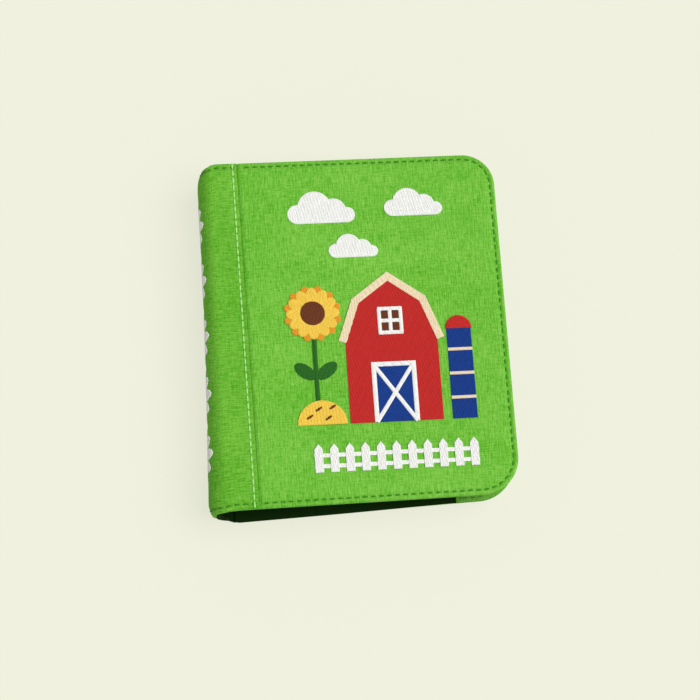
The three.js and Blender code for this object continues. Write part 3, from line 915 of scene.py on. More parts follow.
def folded_sheet(name, put, across, up, lift, *materials):
    """A flat grid folded round the spine, its faces looking out. `lift` raises or sinks each point."""
    bm = grid_of(across, up)
    flat = {}
    for vert in bm.verts:
        s, y = vert.co.xy
        flat[vert] = (y, s)
        vert.co = put(s, y, lift(s, y))
    bm.normal_update()
    if sum((face.normal for face in bm.faces), Vector()).x > 0:
        bmesh.ops.reverse_faces(bm, faces=bm.faces)
    lay_uv(bm, flat)
    return link_piece(name, bm, *materials)


def strip_dip(s, y):
    """How far the strip sinks at its seams, at each needle hole and in its slow waves."""
    inset = half_height - abs(y)
    short = max(0, rim_radius - inset)
    dip = rim_radius - math.sqrt(rim_radius**2 - short**2)
    dip += groove_depth * bell(inset - edge_inset, groove_width)
    dip += 0.5 * groove_depth * bell(s - seam_place, groove_width)
    dip += hole_depth * bell(dash_tree.find((s, y, 0))[2], hole_width)
    slow = Vector((s / wave_length, y / wave_length, 0.7))
    return 0.5 * wave_height * min(0, noise.noise(slow)) - dip


seam_place = strip_end - strip_width + seam_from_fold
seam_dashes = dashes([(seam_place, half_height), (seam_place, -half_height)], seam_pitch, seam_share)
end_rows = []
for row_y in (half_height - edge_inset, edge_inset - half_height):
    end_rows += dashes([(wall_half / 2, row_y), (strip_end, row_y)], edge_pitch)
strip_holes = [point for pair in seam_dashes + end_rows for point in pair]
dash_tree = kdtree.KDTree(len(strip_holes))
for number, hole in enumerate(strip_holes):
    dash_tree.insert((hole.x, hole.y, 0), number)
dash_tree.balance()

strip_columns = spaced(strip_end, cloth_step, [0], [0])
strip_rows = [place - half_height for place in spaced(2 * half_height, cloth_step, head_steps, head_steps)]
tucks = {"upper": 0.0, "lower": 2.2 * mm}
roll_top = book_thickness - spine_roll
halves = {
    "upper": (spine_section, "spine", "front_cover", (cad_low.x, 0, roll_top), (spine_x, 0, book_thickness)),
    "lower": (lower_section, "spine", "back_cover", (cad_low.x, 0, spine_roll), (spine_x, 0, 0)),
}
stood_for = {
    "upper": ("spine_panel", "front_spine_strip"),
    "lower": ("back_spine_strip",),
}
for half, (section, still, swung, start, end) in halves.items():
    put = spine_place(section, tucks[half])
    strip = folded_sheet(f"spine_cloth_{half}", put, strip_columns, strip_rows, strip_dip, spine_cloth)
    soften(strip, cloth_thickness, -1, strip_bevel)
    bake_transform(strip)
    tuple(start)
    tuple(end)
    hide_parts(*stood_for[half])
    row = sew(f"spine_end_stitches_{half}", end_rows, put, edge_thread, *edge_stitch, end_stitch_lift)
    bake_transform(row)
    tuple(start)
    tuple(end)
    seam = sew(f"spine_seam_stitches_{half}", seam_dashes, put, seam_thread, *seam_stitch)
    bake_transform(seam)
    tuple(start)
    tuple(end)
    print(strip.name, "is cut", round(strip_end / mm, 1), "mm wide")

# %% [markdown]
# ## Spine padding
# Under the strip lie the foam and the dark felt of the spine. From the tail they show as a channel that is
# dark inside. Its rim is green above, where the cloth is turned in, and dark felt below. So each half is one
# folded sheet with felt within. Its back gives the rim its material: cloth over the upper roll and felt
# elsewhere.

# %% Spine padding
padding_thickness = cover_thickness - cloth_thickness
padding_overlap = 1.5 * mm
padding_short = 0.6 * mm
padding_end = half_height - padding_short
padding_bevel = 0.8 * mm
padding_rim = [0, 1 * mm]
felt_overhang = 0.4 * mm
felt_share = 0.35
padding_columns = spaced(wall_half + roll_length + padding_overlap, cloth_step, [0], [0])
padding_tails = {"upper": padding_end, "lower": half_height + felt_overhang}
felt_ends = {"upper": wall_half + felt_share * roll_length, "lower": strip_end}


def under_strip(s, y):
    """How far the padding lies under the outside of the strip, the same everywhere."""
    return -strip_lift - cloth_thickness


padding_stands_for = {"upper": "spine_foam", "lower": "spine_lining"}
for half, (section, still, swung, start, end) in halves.items():
    length = padding_end + padding_tails[half]
    rows = [padding_end - place for place in spaced(length, sheet_step, padding_rim, padding_rim)]
    padding = folded_sheet(f"spine_padding_{half}", spine_place(section), padding_columns, rows, under_strip,
                           spine_cloth, dark_felt)
    for face in padding.data.polygons:
        corners = [padding.data.uv_layers[0].data[loop].uv.y for loop in face.loop_indices]
        face.material_index = int(max(corners) < felt_ends[half])
    soften(padding, padding_thickness, -1, padding_bevel, inner=1)
    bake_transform(padding)
    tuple(start)
    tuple(end)
    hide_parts(padding_stands_for[half])
    print(padding.name, "is", round(padding_thickness / mm, 1), "mm thick")

# %% [markdown]
# ## Felt leaves
# Each leaf is two sheets of felt sewn back to back. Its inner end is a tab that is sewn into the spine, and
# the felt bends beside that seam. A grid takes the leaf's outline.

# %% Leaves
leaf_radius = 12 * mm
leaf_wave = 0.3 * mm
leaf_stitch_inset = 4.5 * mm
leaf_pitch = 5.6 * mm
leaf_thickness = 2.1 * mm
leaf_bevel = 0.7 * mm
leaf_stitch = (0.9 * mm, 0.6 * mm)
tab_step = 4 * mm
bend_start = 2 * mm
bend_end = 11 * mm
leaf_numbers = (1, 2, 3, 4)
leaf_planes = {}
leaf_thread = thread("leaf_edge_thread", (112, 178, 70))


def leaf_sheet(number, matrix, width, half, tab_half, tab_length):
    """A leaf and its tab in one sheet. The tab is level, and the leaf lies in its plane, with a slow wave."""
    across = [place - tab_length for place in spaced(width + tab_length, sheet_step, [0], sheet_rim)]
    up = [place / half - 1 for place in spaced(2 * half, sheet_step, sheet_rim, sheet_rim)]
    bm = grid_of(across, up)
    flat = {}
    for vert in bm.verts:
        u, share = vert.co.xy
        reach = tab_half + (half - tab_half) * smooth(u / tab_step)
        u, v = rounded(u, share * half, width, half, leaf_radius, leaf_radius)
        v *= reach / half
        flat[vert] = (u, v)
        slow = Vector((u / wave_length, v / wave_length, number))
        lift = leaf_wave * noise.noise(slow) * smooth(u / (3 * bend_end))
        level = matrix.translation + Vector((u, v, 0))
        vert.co = level if u < 0 else matrix @ Vector((u, v, lift))
    lay_uv(bm, flat)
    return link_piece(f"leaf_{number}", bm, dark_felt)


for number in leaf_numbers:
    hinge = Vector(joints[f"leaf_{number}_turn"]["pos_m"])
    matrix = plane(hinge, upward(f"leaf_{number}_recto"))
    leaf_planes[number] = matrix
    tab_low, tab_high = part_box(f"leaf_{number}_tab")
    recto_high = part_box(f"leaf_{number}_recto")[1]
    width = (recto_high.x - hinge.x) / matrix.col[0].x
    leaf = leaf_sheet(number, matrix, width, recto_high.y, tab_high.y, hinge.x - tab_low.x)
    soften(leaf, leaf_thickness, 0, leaf_bevel)
    body = f"leaf_{number}"
    start = hinge - Vector((bend_start, 0, 0))
    matrix @ Vector((bend_end, 0, 0))
    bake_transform(leaf)
    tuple(start)
    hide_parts(f"leaf_{number}_recto", f"leaf_{number}_verso", f"leaf_{number}_tab")
    inset = leaf_stitch_inset
    reach = recto_high.y - leaf_radius
    radius = leaf_radius - inset
    top = [Vector((bend_end, recto_high.y - inset))] + arc(width - leaf_radius, reach, radius, 90, 0)
    line = top + arc(width - leaf_radius, -reach, radius, 0, -90) + [Vector((bend_end, inset - recto_high.y))]
    place = drawn_on(matrix)

    def flip(u, v, lift=0.0):
        return place(u, v, -lift)

    pairs = dashes(line, leaf_pitch)
    for face, put in (("recto", place), ("verso", flip)):
        row = sew(f"leaf_{number}_{face}_stitches", pairs, put, leaf_thread, *leaf_stitch, leaf_thickness / 2)
        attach(row, body)
    print(leaf.name, round(width / mm, 1), "mm wide")

# %% [markdown]
# ## Embroidery
# Embroidery is only thread: stitches lie side by side until they hide the cloth. `filled` rules an outline
# with rows and cuts each row into stitches, shifted from row to row as bricks are, so that no line of
# needle holes shows. A thin pad of the same thread lies below, because the cloth must not show between two
# threads. The pad has no tone of its own and takes the thread's darkest shade, which is painted shade in
# the gaps between the stitches.

# %% Embroidery
row_pitch = 0.75 * mm
stitch_length = 5.0 * mm
shortest_stitch = 1.2 * mm
row_shift = 0.382
pad_depth = 0.7 * mm
layer_height = 0.35 * mm
thread_height = 0.65 * mm
thread_overlap = 1.25
fill_sides = 6
fill_rings = 4


def filled(outline, angle, length):
    """Stitches, in rows at an angle in degrees, that fill an outline."""
    turn = Matrix.Rotation(math.radians(angle), 2)
    shape = [point @ turn for point in outline]
    low = min(point.y for point in shape)
    high = max(point.y for point in shape)
    rows = max(1, round((high - low) / row_pitch))
    pairs = []
    for row in range(rows):
        y = low + (row + 0.5) * (high - low) / rows
        sides = zip(shape, shape[1:] + shape[:1])
        crossed = [(a, b) for a, b in sides if (a.y > y) != (b.y > y)]
        cuts = sorted(a.x + (y - a.y) / (b.y - a.y) * (b.x - a.x) for a, b in crossed)
        for left, right in zip(cuts[::2], cuts[1::2]):
            first = left + length * (row * row_shift % 1)
            stops = [first + i * length for i in range(math.ceil((right - left) / length))]
            inner = [x for x in stops if left + shortest_stitch < x < right - shortest_stitch]
            ends = [left] + inner + [right]
            pairs += [(turn @ Vector((a, y)), turn @ Vector((b, y))) for a, b in zip(ends, ends[1:])]
    return pairs


def add_pad(bm, outline, place, lift):
    """A thin slab in the shape of an outline, with its top `lift` above the cloth."""
    # The pad gets no tone, so it shows the thread's darkest shade: painted shade between the stitches.
    face = bm.faces.new([bm.verts.new(place(point.x, point.y, lift - pad_depth)) for point in outline])
    grown = bmesh.ops.extrude_face_region(bm, geom=[face])["geom"]
    top = [item for item in grown if isinstance(item, bmesh.types.BMVert)]
    bmesh.ops.translate(bm, verts=top, vec=place(0, 0, pad_depth) - place(0, 0, 0))


def embroider(name, outlines, place, finish, body, angles=(0,), layer=0):
    """A motif in one colour of thread. Its outlines are in millimetres on a plane of the book, and the rows
    of each lie at one of the angles, taken in turn."""
    base = bmesh.new()
    lift = layer_height * (layer + 1)
    pairs = []
    for number, outline in enumerate(outlines):
        shape = [Vector(point) * mm for point in outline]
        add_pad(base, shape, place, lift)
        pairs += filled(shape, angles[number % len(angles)], stitch_length)
    bmesh.ops.recalc_face_normals(base, faces=base.faces)
    width = thread_overlap * row_pitch
    piece = sew(name, pairs, place, finish, width, thread_height, lift, fill_sides, fill_rings, base)
    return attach(piece, body)


white_thread = thread("white_thread", (252, 252, 248))
cream_thread = thread("cream_thread", (250, 232, 196))
red_thread = thread("red_thread", (206, 44, 40))
blue_thread = thread("blue_thread", (14, 62, 146))
yellow_thread = thread("yellow_thread", (252, 214, 84))
orange_thread = thread("orange_thread", (240, 164, 44))
brown_thread = thread("brown_thread", (112, 56, 26))
leaf_green_thread = thread("leaf_green_thread", (40, 108, 30))
print("eight colours of thread for embroidery")

# %% [markdown]
# ## Shapes to fill
# Motifs are built from a few outlines: a box, a bar or a bent band along a line, a petal and a row of
# overlapping circles. A cloud is such a row with a flat foot. `lobes` walks over the circles from left to
# right and changes from one to the next where they cross.


# %% Shapes
def box(left, bottom, right, top):
    """A rectangle."""
    return [(left, bottom), (right, bottom), (right, top), (left, top)]


def bar(x1, y1, x2, y2, width):
    """A straight band along a line."""
    start = Vector((x1, y1))
    end = Vector((x2, y2))
    side = (end - start).orthogonal().normalized() * width / 2
    return [start - side, end - side, end + side, start + side]


def band(line, width):
    """A band along a bent line, with mitred corners."""
    points = [Vector(point) for point in line]
    sides = [(b - a).orthogonal().normalized() for a, b in zip(points, points[1:])]
    edge = []
    for number, point in enumerate(points):
        before = sides[max(0, number - 1)]
        after = sides[min(len(sides) - 1, number)]
        edge.append((before + after) / (1 + before.dot(after)) * width / 2)
    return [p + e for p, e in zip(points, edge)] + [p - e for p, e in reversed(list(zip(points, edge)))]


def petal(x, y, angle, near, far, width, steps=14):
    """An oval that points away from a middle, between two distances from it."""
    turn = Matrix.Rotation(math.radians(angle), 2)
    oval = arc(0, 0, 1, 0, 360 - 360 / steps, steps - 1)
    reach = (far - near) / 2
    points = [Vector((near + reach + reach * spot.x, width / 2 * spot.y)) for spot in oval]
    return [Vector((x, y)) + turn @ point for point in points]


def lobes(*circles):
    """The upper outline of a row of overlapping circles, closed by a straight foot."""
    crossings = []
    for (x1, y1, r1), (x2, y2, r2) in zip(circles, circles[1:]):
        apart = Vector((x2 - x1, y2 - y1))
        along = (r1 * r1 - r2 * r2 + apart.length_squared) / (2 * apart.length)
        step = apart.normalized()
        rise = math.sqrt(r1 * r1 - along * along)
        crossings.append(Vector((x1, y1)) + along * step + rise * Vector((-step.y, step.x)))
    outline = []
    for number, (x, y, radius) in enumerate(circles):
        start = 270.0
        end = -90.0
        if number > 0:
            start = math.degrees(math.atan2(crossings[number - 1].y - y, crossings[number - 1].x - x))
        if number < len(crossings):
            end = math.degrees(math.atan2(crossings[number].y - y, crossings[number].x - x))
        outline += arc(x, y, radius, start, end)
    return outline


def cloud(x, foot, height):
    """Four circles that stand on one foot. Each has a place and a radius, as shares of the cloud's height."""
    circles = ((-0.62, 0.30), (-0.10, 0.50), (0.46, 0.38), (0.86, 0.24))
    rows = [(x + place * height, foot + radius * height, radius * height) for place, radius in circles]
    return lobes(*rows)


print("a cloud's outline has", len(cloud(0, 0, 1)), "points")

# %% [markdown]
# ## The picture on the cover
# The cover carries a small farm: a red barn with a blue door, a silo, hay and a sunflower, with white
# clouds above and a white fence below. Each colour is an object of its own, and what lies on top gets a
# higher layer. The rows of a piece run along its planks, so the light catches barn, door and trim
# differently. The numbers of a drawing are millimetres, across from the fold and up from the middle of the
# cover.

# %% Cover picture
cover_art = drawn_on(front_plane)
ground = -64
barn = [(80, ground), (140, ground), (140, -8), (131, 16), (110, 31), (89, 16), (80, -8)]
roof = band([(78, -10), (88, 17), (110, 33), (132, 17), (142, -10)], 5)
door = [(97, ground), (97, -26), (123, -26), (123, ground)]
door_trim = [band(door, 3), bar(*door[0], *door[2], 2.6), bar(*door[1], *door[3], 2.6)]
window = (102, -5, 118, 11)
window_trim = [bar(102, y, 118, y, 2.4) for y in (-5, 3, 11)]
window_trim += [bar(x, -5, x, 11, 2.4) for x in (103, 110, 117)]
silo = [(146, ground), (162, ground)] + arc(154, -4, 8, 0, 180)
silo_bands = [bar(146, y, 162, y, 2) for y in (-50, -34, -18)]
hay = arc(62, ground, 16, 0, 180, 16)
straws = [bar(x, y, x + 4, y + 2.5, 1.2) for x, y in ((52, -60), (58, -55), (64, -61), (67, -54))]
turns = range(0, 360, 30)
flower = (60, 10)
petals = [petal(*flower, angle, 6, 17.5, 7.4) for angle in turns]
back_petals = [petal(*flower, angle + 15, 6, 19, 7) for angle in turns]
leaves = [petal(60, -34, angle, 1, 17, 8.5) for angle in (38, 142)]


def picket(x, half=2.7):
    """A pointed board of the fence."""
    return [(x - half, -95), (x + half, -95), (x + half, -80), (x, -76.5), (x - half, -80)]


pickets = [picket(x) for x in range(58, 160, 10)]
rails = [bar(55, y, 161, y, 2.6) for y in (-91, -84)]

cover_motifs = {
    "cloud_embroidery": ([cloud(68, 71, 22), cloud(129, 74, 19), cloud(88, 47, 16)], white_thread, [80], 0),
    "barn_embroidery": ([barn], red_thread, [90], 0),
    "roof_embroidery": ([roof], cream_thread, [70], 1),
    "door_embroidery": ([door], blue_thread, [0], 1),
    "door_trim_embroidery": (door_trim, white_thread, [20], 2),
    "window_embroidery": ([box(*window)], brown_thread, [0], 1),
    "window_trim_embroidery": (window_trim, white_thread, [20], 2),
    "silo_embroidery": ([silo], blue_thread, [90], 0),
    "silo_dome_embroidery": ([arc(154, -4, 8.6, 0, 180)], red_thread, [0], 1),
    "silo_band_embroidery": (silo_bands, cream_thread, [90], 1),
    "stem_embroidery": ([bar(60, -6, 60, -52, 2.8)] + leaves, leaf_green_thread, [0, 38, 142], 0),
    "back_petal_embroidery": (back_petals, orange_thread, [angle + 15 for angle in turns], 0),
    "petal_embroidery": (petals, yellow_thread, list(turns), 1),
    "seed_embroidery": ([arc(*flower, 8, 0, 345, 23)], brown_thread, [45], 2),
    "hay_embroidery": ([hay], yellow_thread, [70], 1),
    "straw_embroidery": (straws, brown_thread, [40], 2),
    "picket_embroidery": (pickets, white_thread, [90], 1),
    "rail_embroidery": (rails, white_thread, [0], 0),
}
for name, (outlines, finish, angles, layer) in cover_motifs.items():
    piece = embroider(name, outlines, cover_art, finish, "front_cover", angles, layer)
    print(name, len(piece.data.polygons), "faces")

# %% [markdown]
# ## Daisies on the spine
# Daisies run up the spine. They are drawn flat on the strip and reach round the roll, so their stitches go
# through `spine_place`. What lies above the middle of the wall belongs to the upper half and the rest to
# the lower one, which is a mirror image, so its distances change sign.

# %% Spine daisies
daisy_places = range(-76, 77, 38)
daisy_turns = range(0, 360, 36)
daisy_overlap = 1.6
daisy_height = 0.6 * mm
daisy_petals = [petal(0, y, angle, 4, 18.5, 8) for y in daisy_places for angle in daisy_turns]
daisy_middles = [arc(0, y, 5, 0, 340, 17) for y in daisy_places]
daisy_parts = {
    "petals": (white_thread, daisy_petals, 0.1 * mm),
    "middles": (yellow_thread, daisy_middles, 0.3 * mm),
}
for part, (finish, outlines, lift) in daisy_parts.items():
    pairs = []
    for outline in outlines:
        pairs += filled([Vector(point) * mm for point in outline], 90, stitch_length)
    upper = [(a, b) for a, b in pairs if a.x + b.x >= 0]
    lower = [(Vector((-a.x, a.y)), Vector((-b.x, b.y))) for a, b in pairs if a.x + b.x < 0]
    width = daisy_overlap * row_pitch
    for half, chosen in (("upper", upper), ("lower", lower)):
        section, still, swung, start, end = halves[half]
        piece = sew(f"daisy_{part}_{half}", chosen, spine_place(section), finish, width, daisy_height, lift,
                    fill_sides, fill_rings)
        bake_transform(piece)
        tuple(start)
        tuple(end)
        print(piece.name, len(chosen), "stitches")

# %% [markdown]
# ## Felt patches
# The play pieces are cut from felt. A copy of the solid already has the right outline, so its mesh is
# merged, its edges are beveled to look soft, and a row of stitches follows the rim of its upper face. The
# stitches are laid out on the plane of the page, which makes them easy to move inwards from the rim.

# %% Felt patches
patch_pitch = 4.2 * mm
patch_inset = 1.4 * mm
patch_bevel = 0.18 * mm
patch_share = 0.6
patch_stitch = (0.8 * mm, 0.5 * mm)
merge_distance = 0.01 * mm
flat_angle = math.radians(2)
patch_corner = math.radians(60)
narrowest_sheet = 10 * mm
emptiest_sheet = 0.3


def outer_loop(edges):
    """The longest closed line among some edges, as points in order."""
    left = {edge.index: edge for edge in edges}
    loops = []
    while left:
        edge = left.pop(next(iter(left)))
        first, vert = edge.verts
        line = [first.co.copy(), vert.co.copy()]
        while vert != first:
            step = next(step for step in vert.link_edges if step.index in left)
            left.pop(step.index)
            vert = step.other_vert(vert)
            line.append(vert.co.copy())
        loops.append(line)
    return max(loops, key=lambda line: sum((b - a).length for a, b in zip(line, line[1:])))


def felt_patch(node, finish, slot, matrix, row_finish=None):
    """Felt in the shape of a solid, with a row of stitches along its rim if a thread is given."""
    out = matrix.col[2].xyz
    bm = bmesh.new()
    bm.from_mesh(nodes[node].data)
    bmesh.ops.remove_doubles(bm, verts=bm.verts, dist=merge_distance)
    bmesh.ops.dissolve_limit(bm, angle_limit=flat_angle, verts=bm.verts, edges=bm.edges)
    bm.edges.index_update()
    top = [face for face in bm.faces if face.normal.dot(out) > facing]
    area = sum(face.calc_area() for face in top)
    rim = [edge for edge in bm.edges if sum(face in top for face in edge.link_faces) == 1]
    line = [matrix.inverted() @ point for point in outer_loop(rim)]
    sharp = [edge for edge in bm.edges if edge.calc_face_angle(0) > patch_corner]
    bmesh.ops.bevel(bm, geom=sharp, offset=patch_bevel, segments=2, profile=0.5, affect="EDGES", material=-1,
                    clamp_overlap=True)
    piece = link_piece(f"{node}_felt", bm, finish)
    body = nodes[node]["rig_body"]
    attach(piece, body)
    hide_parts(node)
    sides = [max(point[axis] for point in line) - min(point[axis] for point in line) for axis in (0, 1)]
    min(sides) > narrowest_sheet and area > emptiest_sheet * sides[0] * sides[1]
    if row_finish is not None:
        flat = [point.xy for point in line]
        way = sum(a.x * b.y - b.x * a.y for a, b in zip(flat, flat[1:]))
        pairs = []
        for a, b in dashes(flat, patch_pitch, patch_share):
            inward = (b - a).orthogonal().normalized() * math.copysign(patch_inset, way)
            pairs.append((a + inward, b + inward))
        row = sew(f"{node}_stitches", pairs, drawn_on(matrix), row_finish, *patch_stitch, line[0].z)
        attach(row, body)
    return piece


print("patches are sewn on", round(patch_inset / mm, 1), "mm inside their rims")

# %% [markdown]
# ## The play pieces
# Each play piece has a colour of felt, the plane that it lies on and a thread for its rim. They could be
# made one by one, but a table is easier to read and to change. The hands of the clock and the tops of the
# carrots are too narrow for a row of stitches. Wheels, sails, hands and carrots move, so each rides on its
# own body.

# %% Play pieces
inside_plane = plane(Vector((fold_x, 0, 0)), Vector((0, 0, 1)))
lining_plane = front_plane @ Matrix.Rotation(math.pi, 4, "X")
red_felt = felt("red_felt", (196, 58, 52))
blue_felt = felt("blue_felt", (38, 84, 160))
yellow_felt = felt("yellow_felt", (238, 196, 84))
cream_felt = felt("cream_felt", (241, 230, 200))
brown_felt = felt("brown_felt", (108, 70, 38))
orange_felt = felt("orange_felt", (231, 134, 49))
leaf_felt = felt("leaf_felt", (70, 154, 70))
black_felt = felt("black_felt", (38, 38, 38))
tape_felt = felt("zip_tape", (238, 234, 220))
patches = {
    "tractor_body": (blue_felt, "blue_felt", leaf_planes[1], cream_thread),
    "tractor_cab": (yellow_felt, "yellow_felt", leaf_planes[1], red_thread),
    "rear_wheel": (black_felt, "black_felt", leaf_planes[1], yellow_thread),
    "front_wheel": (black_felt, "black_felt", leaf_planes[1], yellow_thread),
    "windmill_tower": (cream_felt, "cream_felt", leaf_planes[2], brown_thread),
    "windmill_cap": (red_felt, "red_felt", leaf_planes[2], cream_thread),
    "windmill_sails": (yellow_felt, "yellow_felt", leaf_planes[2], red_thread),
    "clock_dial": (cream_felt, "cream_felt", leaf_planes[3], red_thread),
    "hour_hand": (red_felt, "red_felt", leaf_planes[3], None),
    "minute_hand": (red_felt, "red_felt", leaf_planes[3], None),
    "carrot_bed": (brown_felt, "brown_felt", leaf_planes[4], cream_thread),
    "zip_pocket": (red_felt, "red_felt", inside_plane, cream_thread),
    "zip_tape": (tape_felt, "zip_tape", inside_plane, white_thread),
    "sun_patch": (yellow_felt, "yellow_felt", lining_plane, red_thread),
}
for number in (1, 2, 3):
    patches[f"carrot_{number}_root"] = (orange_felt, "orange_felt", leaf_planes[4], red_thread)
    patches[f"carrot_{number}_top"] = (leaf_felt, "leaf_felt", leaf_planes[4], None)
for node, (finish, slot, matrix, row_finish) in patches.items():
    patch = felt_patch(node, finish, slot, matrix, row_finish)
    print(patch.name, len(patch.data.polygons), "faces")

# %% [markdown]
# ## Trim on the play pieces
# Wheels get spokes, the tractor a window and stripes, and the windmill a door. `over` draws on the upper
# face of a solid, whose height over the page is found by looking for its highest point in the drawing's own
# directions. What is sewn on a wheel rides with the wheel, so it turns along.

# %% Trim
trim_sink = 0.15 * mm


def over(node, matrix, x=0.0, y=0.0):
    """A function that draws on the upper face of a solid, with the drawing's middle at (x, y) on the page."""
    back = matrix.inverted()
    level = max((back @ vert.co).z for vert in nodes[node].data.vertices) - trim_sink
    return lambda u, v, lift=0.0: matrix @ Vector((x + u, y + v, level + lift))


def at_joint(name, matrix):
    """Where the axis of a joint goes through the page."""
    spot = matrix.inverted() @ Vector(joints[name]["pos_m"])
    return spot.x, spot.y


def disc(x, y, radius):
    """A full circle."""
    return arc(x, y, radius, 0, 345, 23)


def spokes(near, far, count, width):
    """Bars that point away from a wheel's middle."""
    bars = []
    for i in range(count):
        across = math.cos(math.tau * i / count)
        up = math.sin(math.tau * i / count)
        bars.append(bar(near * across, near * up, far * across, far * up, width))
    return bars


for name, radius, count in (("rear_wheel", 26, 8), ("front_wheel", 16, 6)):
    wheel_art = over(name, leaf_planes[1], *at_joint(f"{name}_spin", leaf_planes[1]))
    ring = band(arc(0, 0, 0.78 * radius, 0, 358, 40), 2.2)
    rays = spokes(7, 0.75 * radius, count, 2.2)
    ways = [90] + [360 * i / count for i in range(count)]
    embroider(f"{name}_spokes", [ring] + rays, wheel_art, yellow_thread, name, ways)

cab_art = over("tractor_cab", leaf_planes[1])
hood_art = over("tractor_body", leaf_planes[1])
tower_art = over("windmill_tower", leaf_planes[2])
tower_x = at_joint("sails_spin", leaf_planes[2])[0] / mm
mill_door = [(tower_x - 8, -86), (tower_x + 8, -86)] + arc(tower_x, -66, 8, 0, 180)
mill_windows = [disc(tower_x + side, -42, 4.5) for side in (-11, 11)]
trims = {
    "cab_window": ([box(36, -4, 60, 12)], cab_art, white_thread, "leaf_1", [0]),
    "hood_stripes": ([bar(80, y, 122, y, 2.4) for y in (-18, -24)], hood_art, yellow_thread, "leaf_1", [0]),
    "mill_door": ([mill_door], tower_art, red_thread, "leaf_2", [90]),
    "mill_windows": (mill_windows, tower_art, blue_thread, "leaf_2", [0]),
}
for name, (outlines, place, finish, body, angles) in trims.items():
    piece = embroider(name, outlines, place, finish, body, angles)
    print(name, len(piece.data.polygons), "faces")

# %% [markdown]
# ## Numbers on the clock
# Blender's text object already knows the outlines of figures. Each one is made as a thin text, turned into
# a mesh, merged and moved to its hour. All twelve become one piece that rides with the leaf.

# %% Clock numbers
number_size = 10 * mm
number_radius = 32.5 * mm
number_depth = 0.25 * mm
number_merge = 0.001 * mm

numbers = bmesh.new()
clock_art = over("clock_dial", leaf_planes[3], *at_joint("hour_hand_turn", leaf_planes[3]))
for hour in range(1, 13):
    text = bpy.data.curves.new("hour", "FONT")
    text.body = str(hour)
    text.size = number_size
    text.extrude = number_depth
    text.resolution_u = 3
    text.align_x = "CENTER"
    text.align_y = "CENTER"
    sign = bpy.data.objects.new("hour", text)
    cut = bpy.data.meshes.new_from_object(sign)
    figure = bmesh.new()
    figure.from_mesh(cut)
    bmesh.ops.remove_doubles(figure, verts=figure.verts, dist=number_merge)
    way = math.radians(90 - 30 * hour)
    for vert in figure.verts:
        u = vert.co.x + number_radius * math.cos(way)
        v = vert.co.y + number_radius * math.sin(way)
        vert.co = clock_art(u, v, vert.co.z + trim_sink)
    figure.to_mesh(cut)
    figure.free()
    numbers.from_mesh(cut)
    bpy.data.meshes.remove(cut)
    bpy.data.objects.remove(sign)
    bpy.data.curves.remove(text)
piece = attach(link_piece("clock_numbers", numbers, blue_felt), "leaf_3")
print("clock numbers", len(piece.data.polygons), "faces")

# %% [markdown]
# ## Pictures on the pages
# The empty parts of the pages carry simple motifs in thread: clouds, a field, trees, flowers and a night
# sky. They are sewn to one side of a leaf and stay away from the pieces of the page that lies on them,
# because a closed book leaves little room there.

# %% Page pictures
page_level = leaf_thickness / 2 - trim_sink


def page(number, side):
    """A function that draws on one side of a leaf."""
    put = drawn_on(leaf_planes[number])
    return lambda u, v, lift=0.0: put(u, v, side * (page_level + lift))


def inside_front(u, v, lift=0.0):
    """Draws on the lining of the front cover."""
    return front_plane @ Vector((u, v, -cover_thickness - lift + trim_sink))


def star(x, y, radius):
    """A star of five points."""
    ways = [(math.radians(90 + 36 * i), radius if i % 2 == 0 else 0.45 * radius) for i in range(10)]
    return [Vector((x + reach * math.cos(way), y + reach * math.sin(way))) for way, reach in ways]


def crescent(x, y, radius):
    """A moon: most of a circle, closed by an arc of a smaller one."""
    return arc(x, y, radius, 50, 310, 20) + arc(x + 0.5 * radius, y, 0.779 * radius, 280.6, 79.4, 16)


def tulip_head(x, y):
    """A flower with three tips over a pointed cup."""
    tips = [(x - 6, y + 8), (x - 3, y + 4), (x, y + 9), (x + 3, y + 4), (x + 6, y + 8)]
    return tips + [(x + 6, y), (x, y - 5), (x - 6, y)]


tulips = ((118, -52), (136, -44), (154, -52))
tulip_stems = [bar(x, -92, x, y - 3, 2) for x, y in tulips]
tulip_leaves = [petal(x, -90, way, 1, 20, 5) for x, y in tulips for way in (62, 118)]
butterflies = ((128, 40), (146, -6))
wing_ways = [35, 145, -42, -138]
wings = [petal(x, y, way, 1.5, 15, 10) for x, y in butterflies for way in wing_ways]
bodies = [bar(x, y - 9, x, y + 9, 2.6) for x, y in butterflies]
wheat = (122, 136, 150)
wheat_stems = [bar(x, -70, x, 26, 1.8) for x in wheat]
ears = [(x, y) for x in wheat for y in range(-18, 19, 9)]
grains = [petal(x, y, way, 0.6, 9, 3.6) for x, y in ears for way in (52, 128)]
sun_spot = (142, 58)
beam_ways = list(range(0, 360, 36))
beams = [petal(*sun_spot, way, 15, 24, 4) for way in beam_ways]
moon = [crescent(140, -46, 14), star(118, -20, 6), star(158, -16, 5)]
furrows = [bar(14, y, 168, y, 2.6) for y in (-86, -92, -98)]
grass = [petal(x, -100, way, 0, 13, 3) for x in range(20, 166, 12) for way in (70, 110)]
sprouts = [petal(x, -92, way, 0, 16, 3.4) for x in (120, 136, 152) for way in (58, 90, 122)]
apples = [disc(x, y, 3.5) for x, y in ((118, -6), (128, 6), (142, 0), (152, -7), (132, -8))]
recto_1 = page(1, 1)
recto_2 = page(2, 1)
recto_3 = page(3, 1)
recto_4 = page(4, 1)
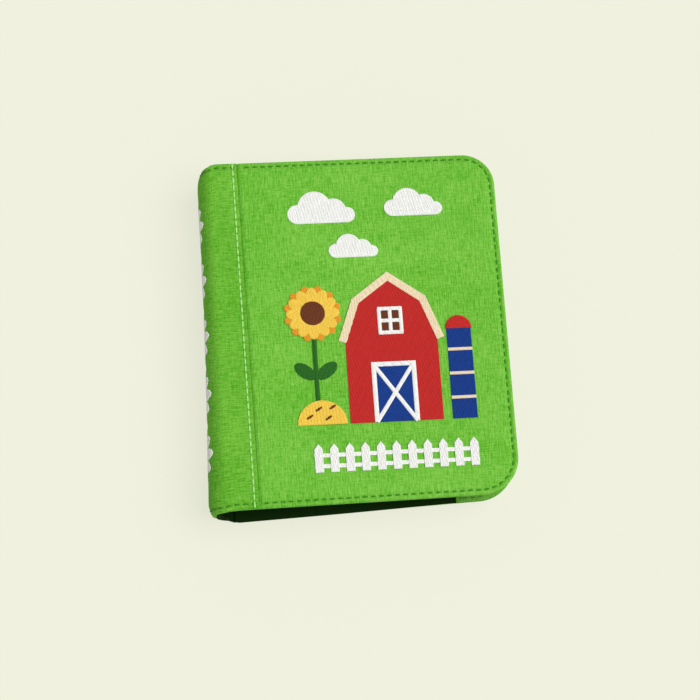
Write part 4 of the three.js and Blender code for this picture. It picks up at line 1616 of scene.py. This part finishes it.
page_motifs = {
    "field_furrows": (furrows, recto_1, brown_thread, "leaf_1", [0]),
    "tractor_clouds": ([cloud(106, 62, 20), cloud(54, 74, 15)], recto_1, white_thread, "leaf_1", [80]),
    "tree_trunk": ([box(134, -88, 142, -12)], page(1, -1), brown_thread, "leaf_1", [90]),
    "tree_crown": ([cloud(134, -16, 34)], page(1, -1), leaf_green_thread, "leaf_1", [60]),
    "mill_grass": (grass, recto_2, leaf_green_thread, "leaf_2", [70, 110]),
    "mill_clouds": ([cloud(138, 68, 20), cloud(128, 30, 14)], recto_2, white_thread, "leaf_2", [80]),
    "tulip_stems": (tulip_stems + tulip_leaves, page(2, -1), leaf_green_thread, "leaf_2", [90]),
    "tulip_heads": ([tulip_head(x, y) for x, y in tulips], page(2, -1), red_thread, "leaf_2", [90]),
    "clock_sun": ([disc(*sun_spot, 12)] + beams, recto_3, yellow_thread, "leaf_3", [0] + beam_ways),
    "clock_moon": (moon, recto_3, cream_thread, "leaf_3", [20]),
    "butterfly_wings": (wings, page(3, -1), orange_thread, "leaf_3", wing_ways),
    "butterfly_bodies": (bodies, page(3, -1), cream_thread, "leaf_3", [90]),
    "bed_sprouts": (sprouts, recto_4, leaf_green_thread, "leaf_4", [58, 90, 122]),
    "bed_cloud": ([cloud(138, 62, 20)], recto_4, white_thread, "leaf_4", [80]),
    "wheat_stems": (wheat_stems, page(4, -1), orange_thread, "leaf_4", [90]),
    "wheat_grains": (grains, page(4, -1), yellow_thread, "leaf_4", [52, 128]),
}
bow_threads = (red_thread, orange_thread, yellow_thread, blue_thread)
for number, finish in enumerate(bow_threads):
    bow = band(arc(92, -78, 54 - 6.5 * number, 0, 180, 30), 5.6)
    page_motifs[f"rainbow_{number}"] = ([bow], inside_front, finish, "front_cover", [0])
for name, (outlines, place, finish, body, angles) in page_motifs.items():
    piece = embroider(name, outlines, place, finish, body, angles)
    print(name, len(piece.data.polygons), "faces")
embroider("tree_apples", apples, page(1, -1), red_thread, "leaf_1", (0,), 1)

# %% [markdown]
# ## Brass
# The split pins that hold wheels, sails and hands, and the chain, slider and pull of the zip are small
# metal pieces. Their solids are already true, so they only get a finish: brass with a soft shine, which a
# noise makes a little uneven, as wear does.

# %% Brass
wear_size = 1.5 * mm

brass, wire, shader = new_finish("brass")
spot = wire.node("TexCoord", output="Object")
wear = wire.node("TexNoise", None, {"Vector": spot, "Scale": 1 / wear_size, "Detail": 3.0})
wire.feed(shader.inputs["Base Color"], wire.mix(wear, rgb(214, 172, 96), rgb(236, 200, 128)))
wire.feed(shader.inputs["Roughness"], 0.22 + 0.2 * wear)
shader.inputs["Metallic"].default_value = 1.0
brass_pins = ("rear_wheel_brad", "front_wheel_brad", "windmill_brad", "clock_brad")
brass_nodes = brass_pins + ("zip_chain", "zip_slider", "zip_pull")
for node in brass_nodes:
    nodes[node].data.materials.clear()
    nodes[node].data.materials.append(brass)
print(len(brass_nodes), "brass pieces")
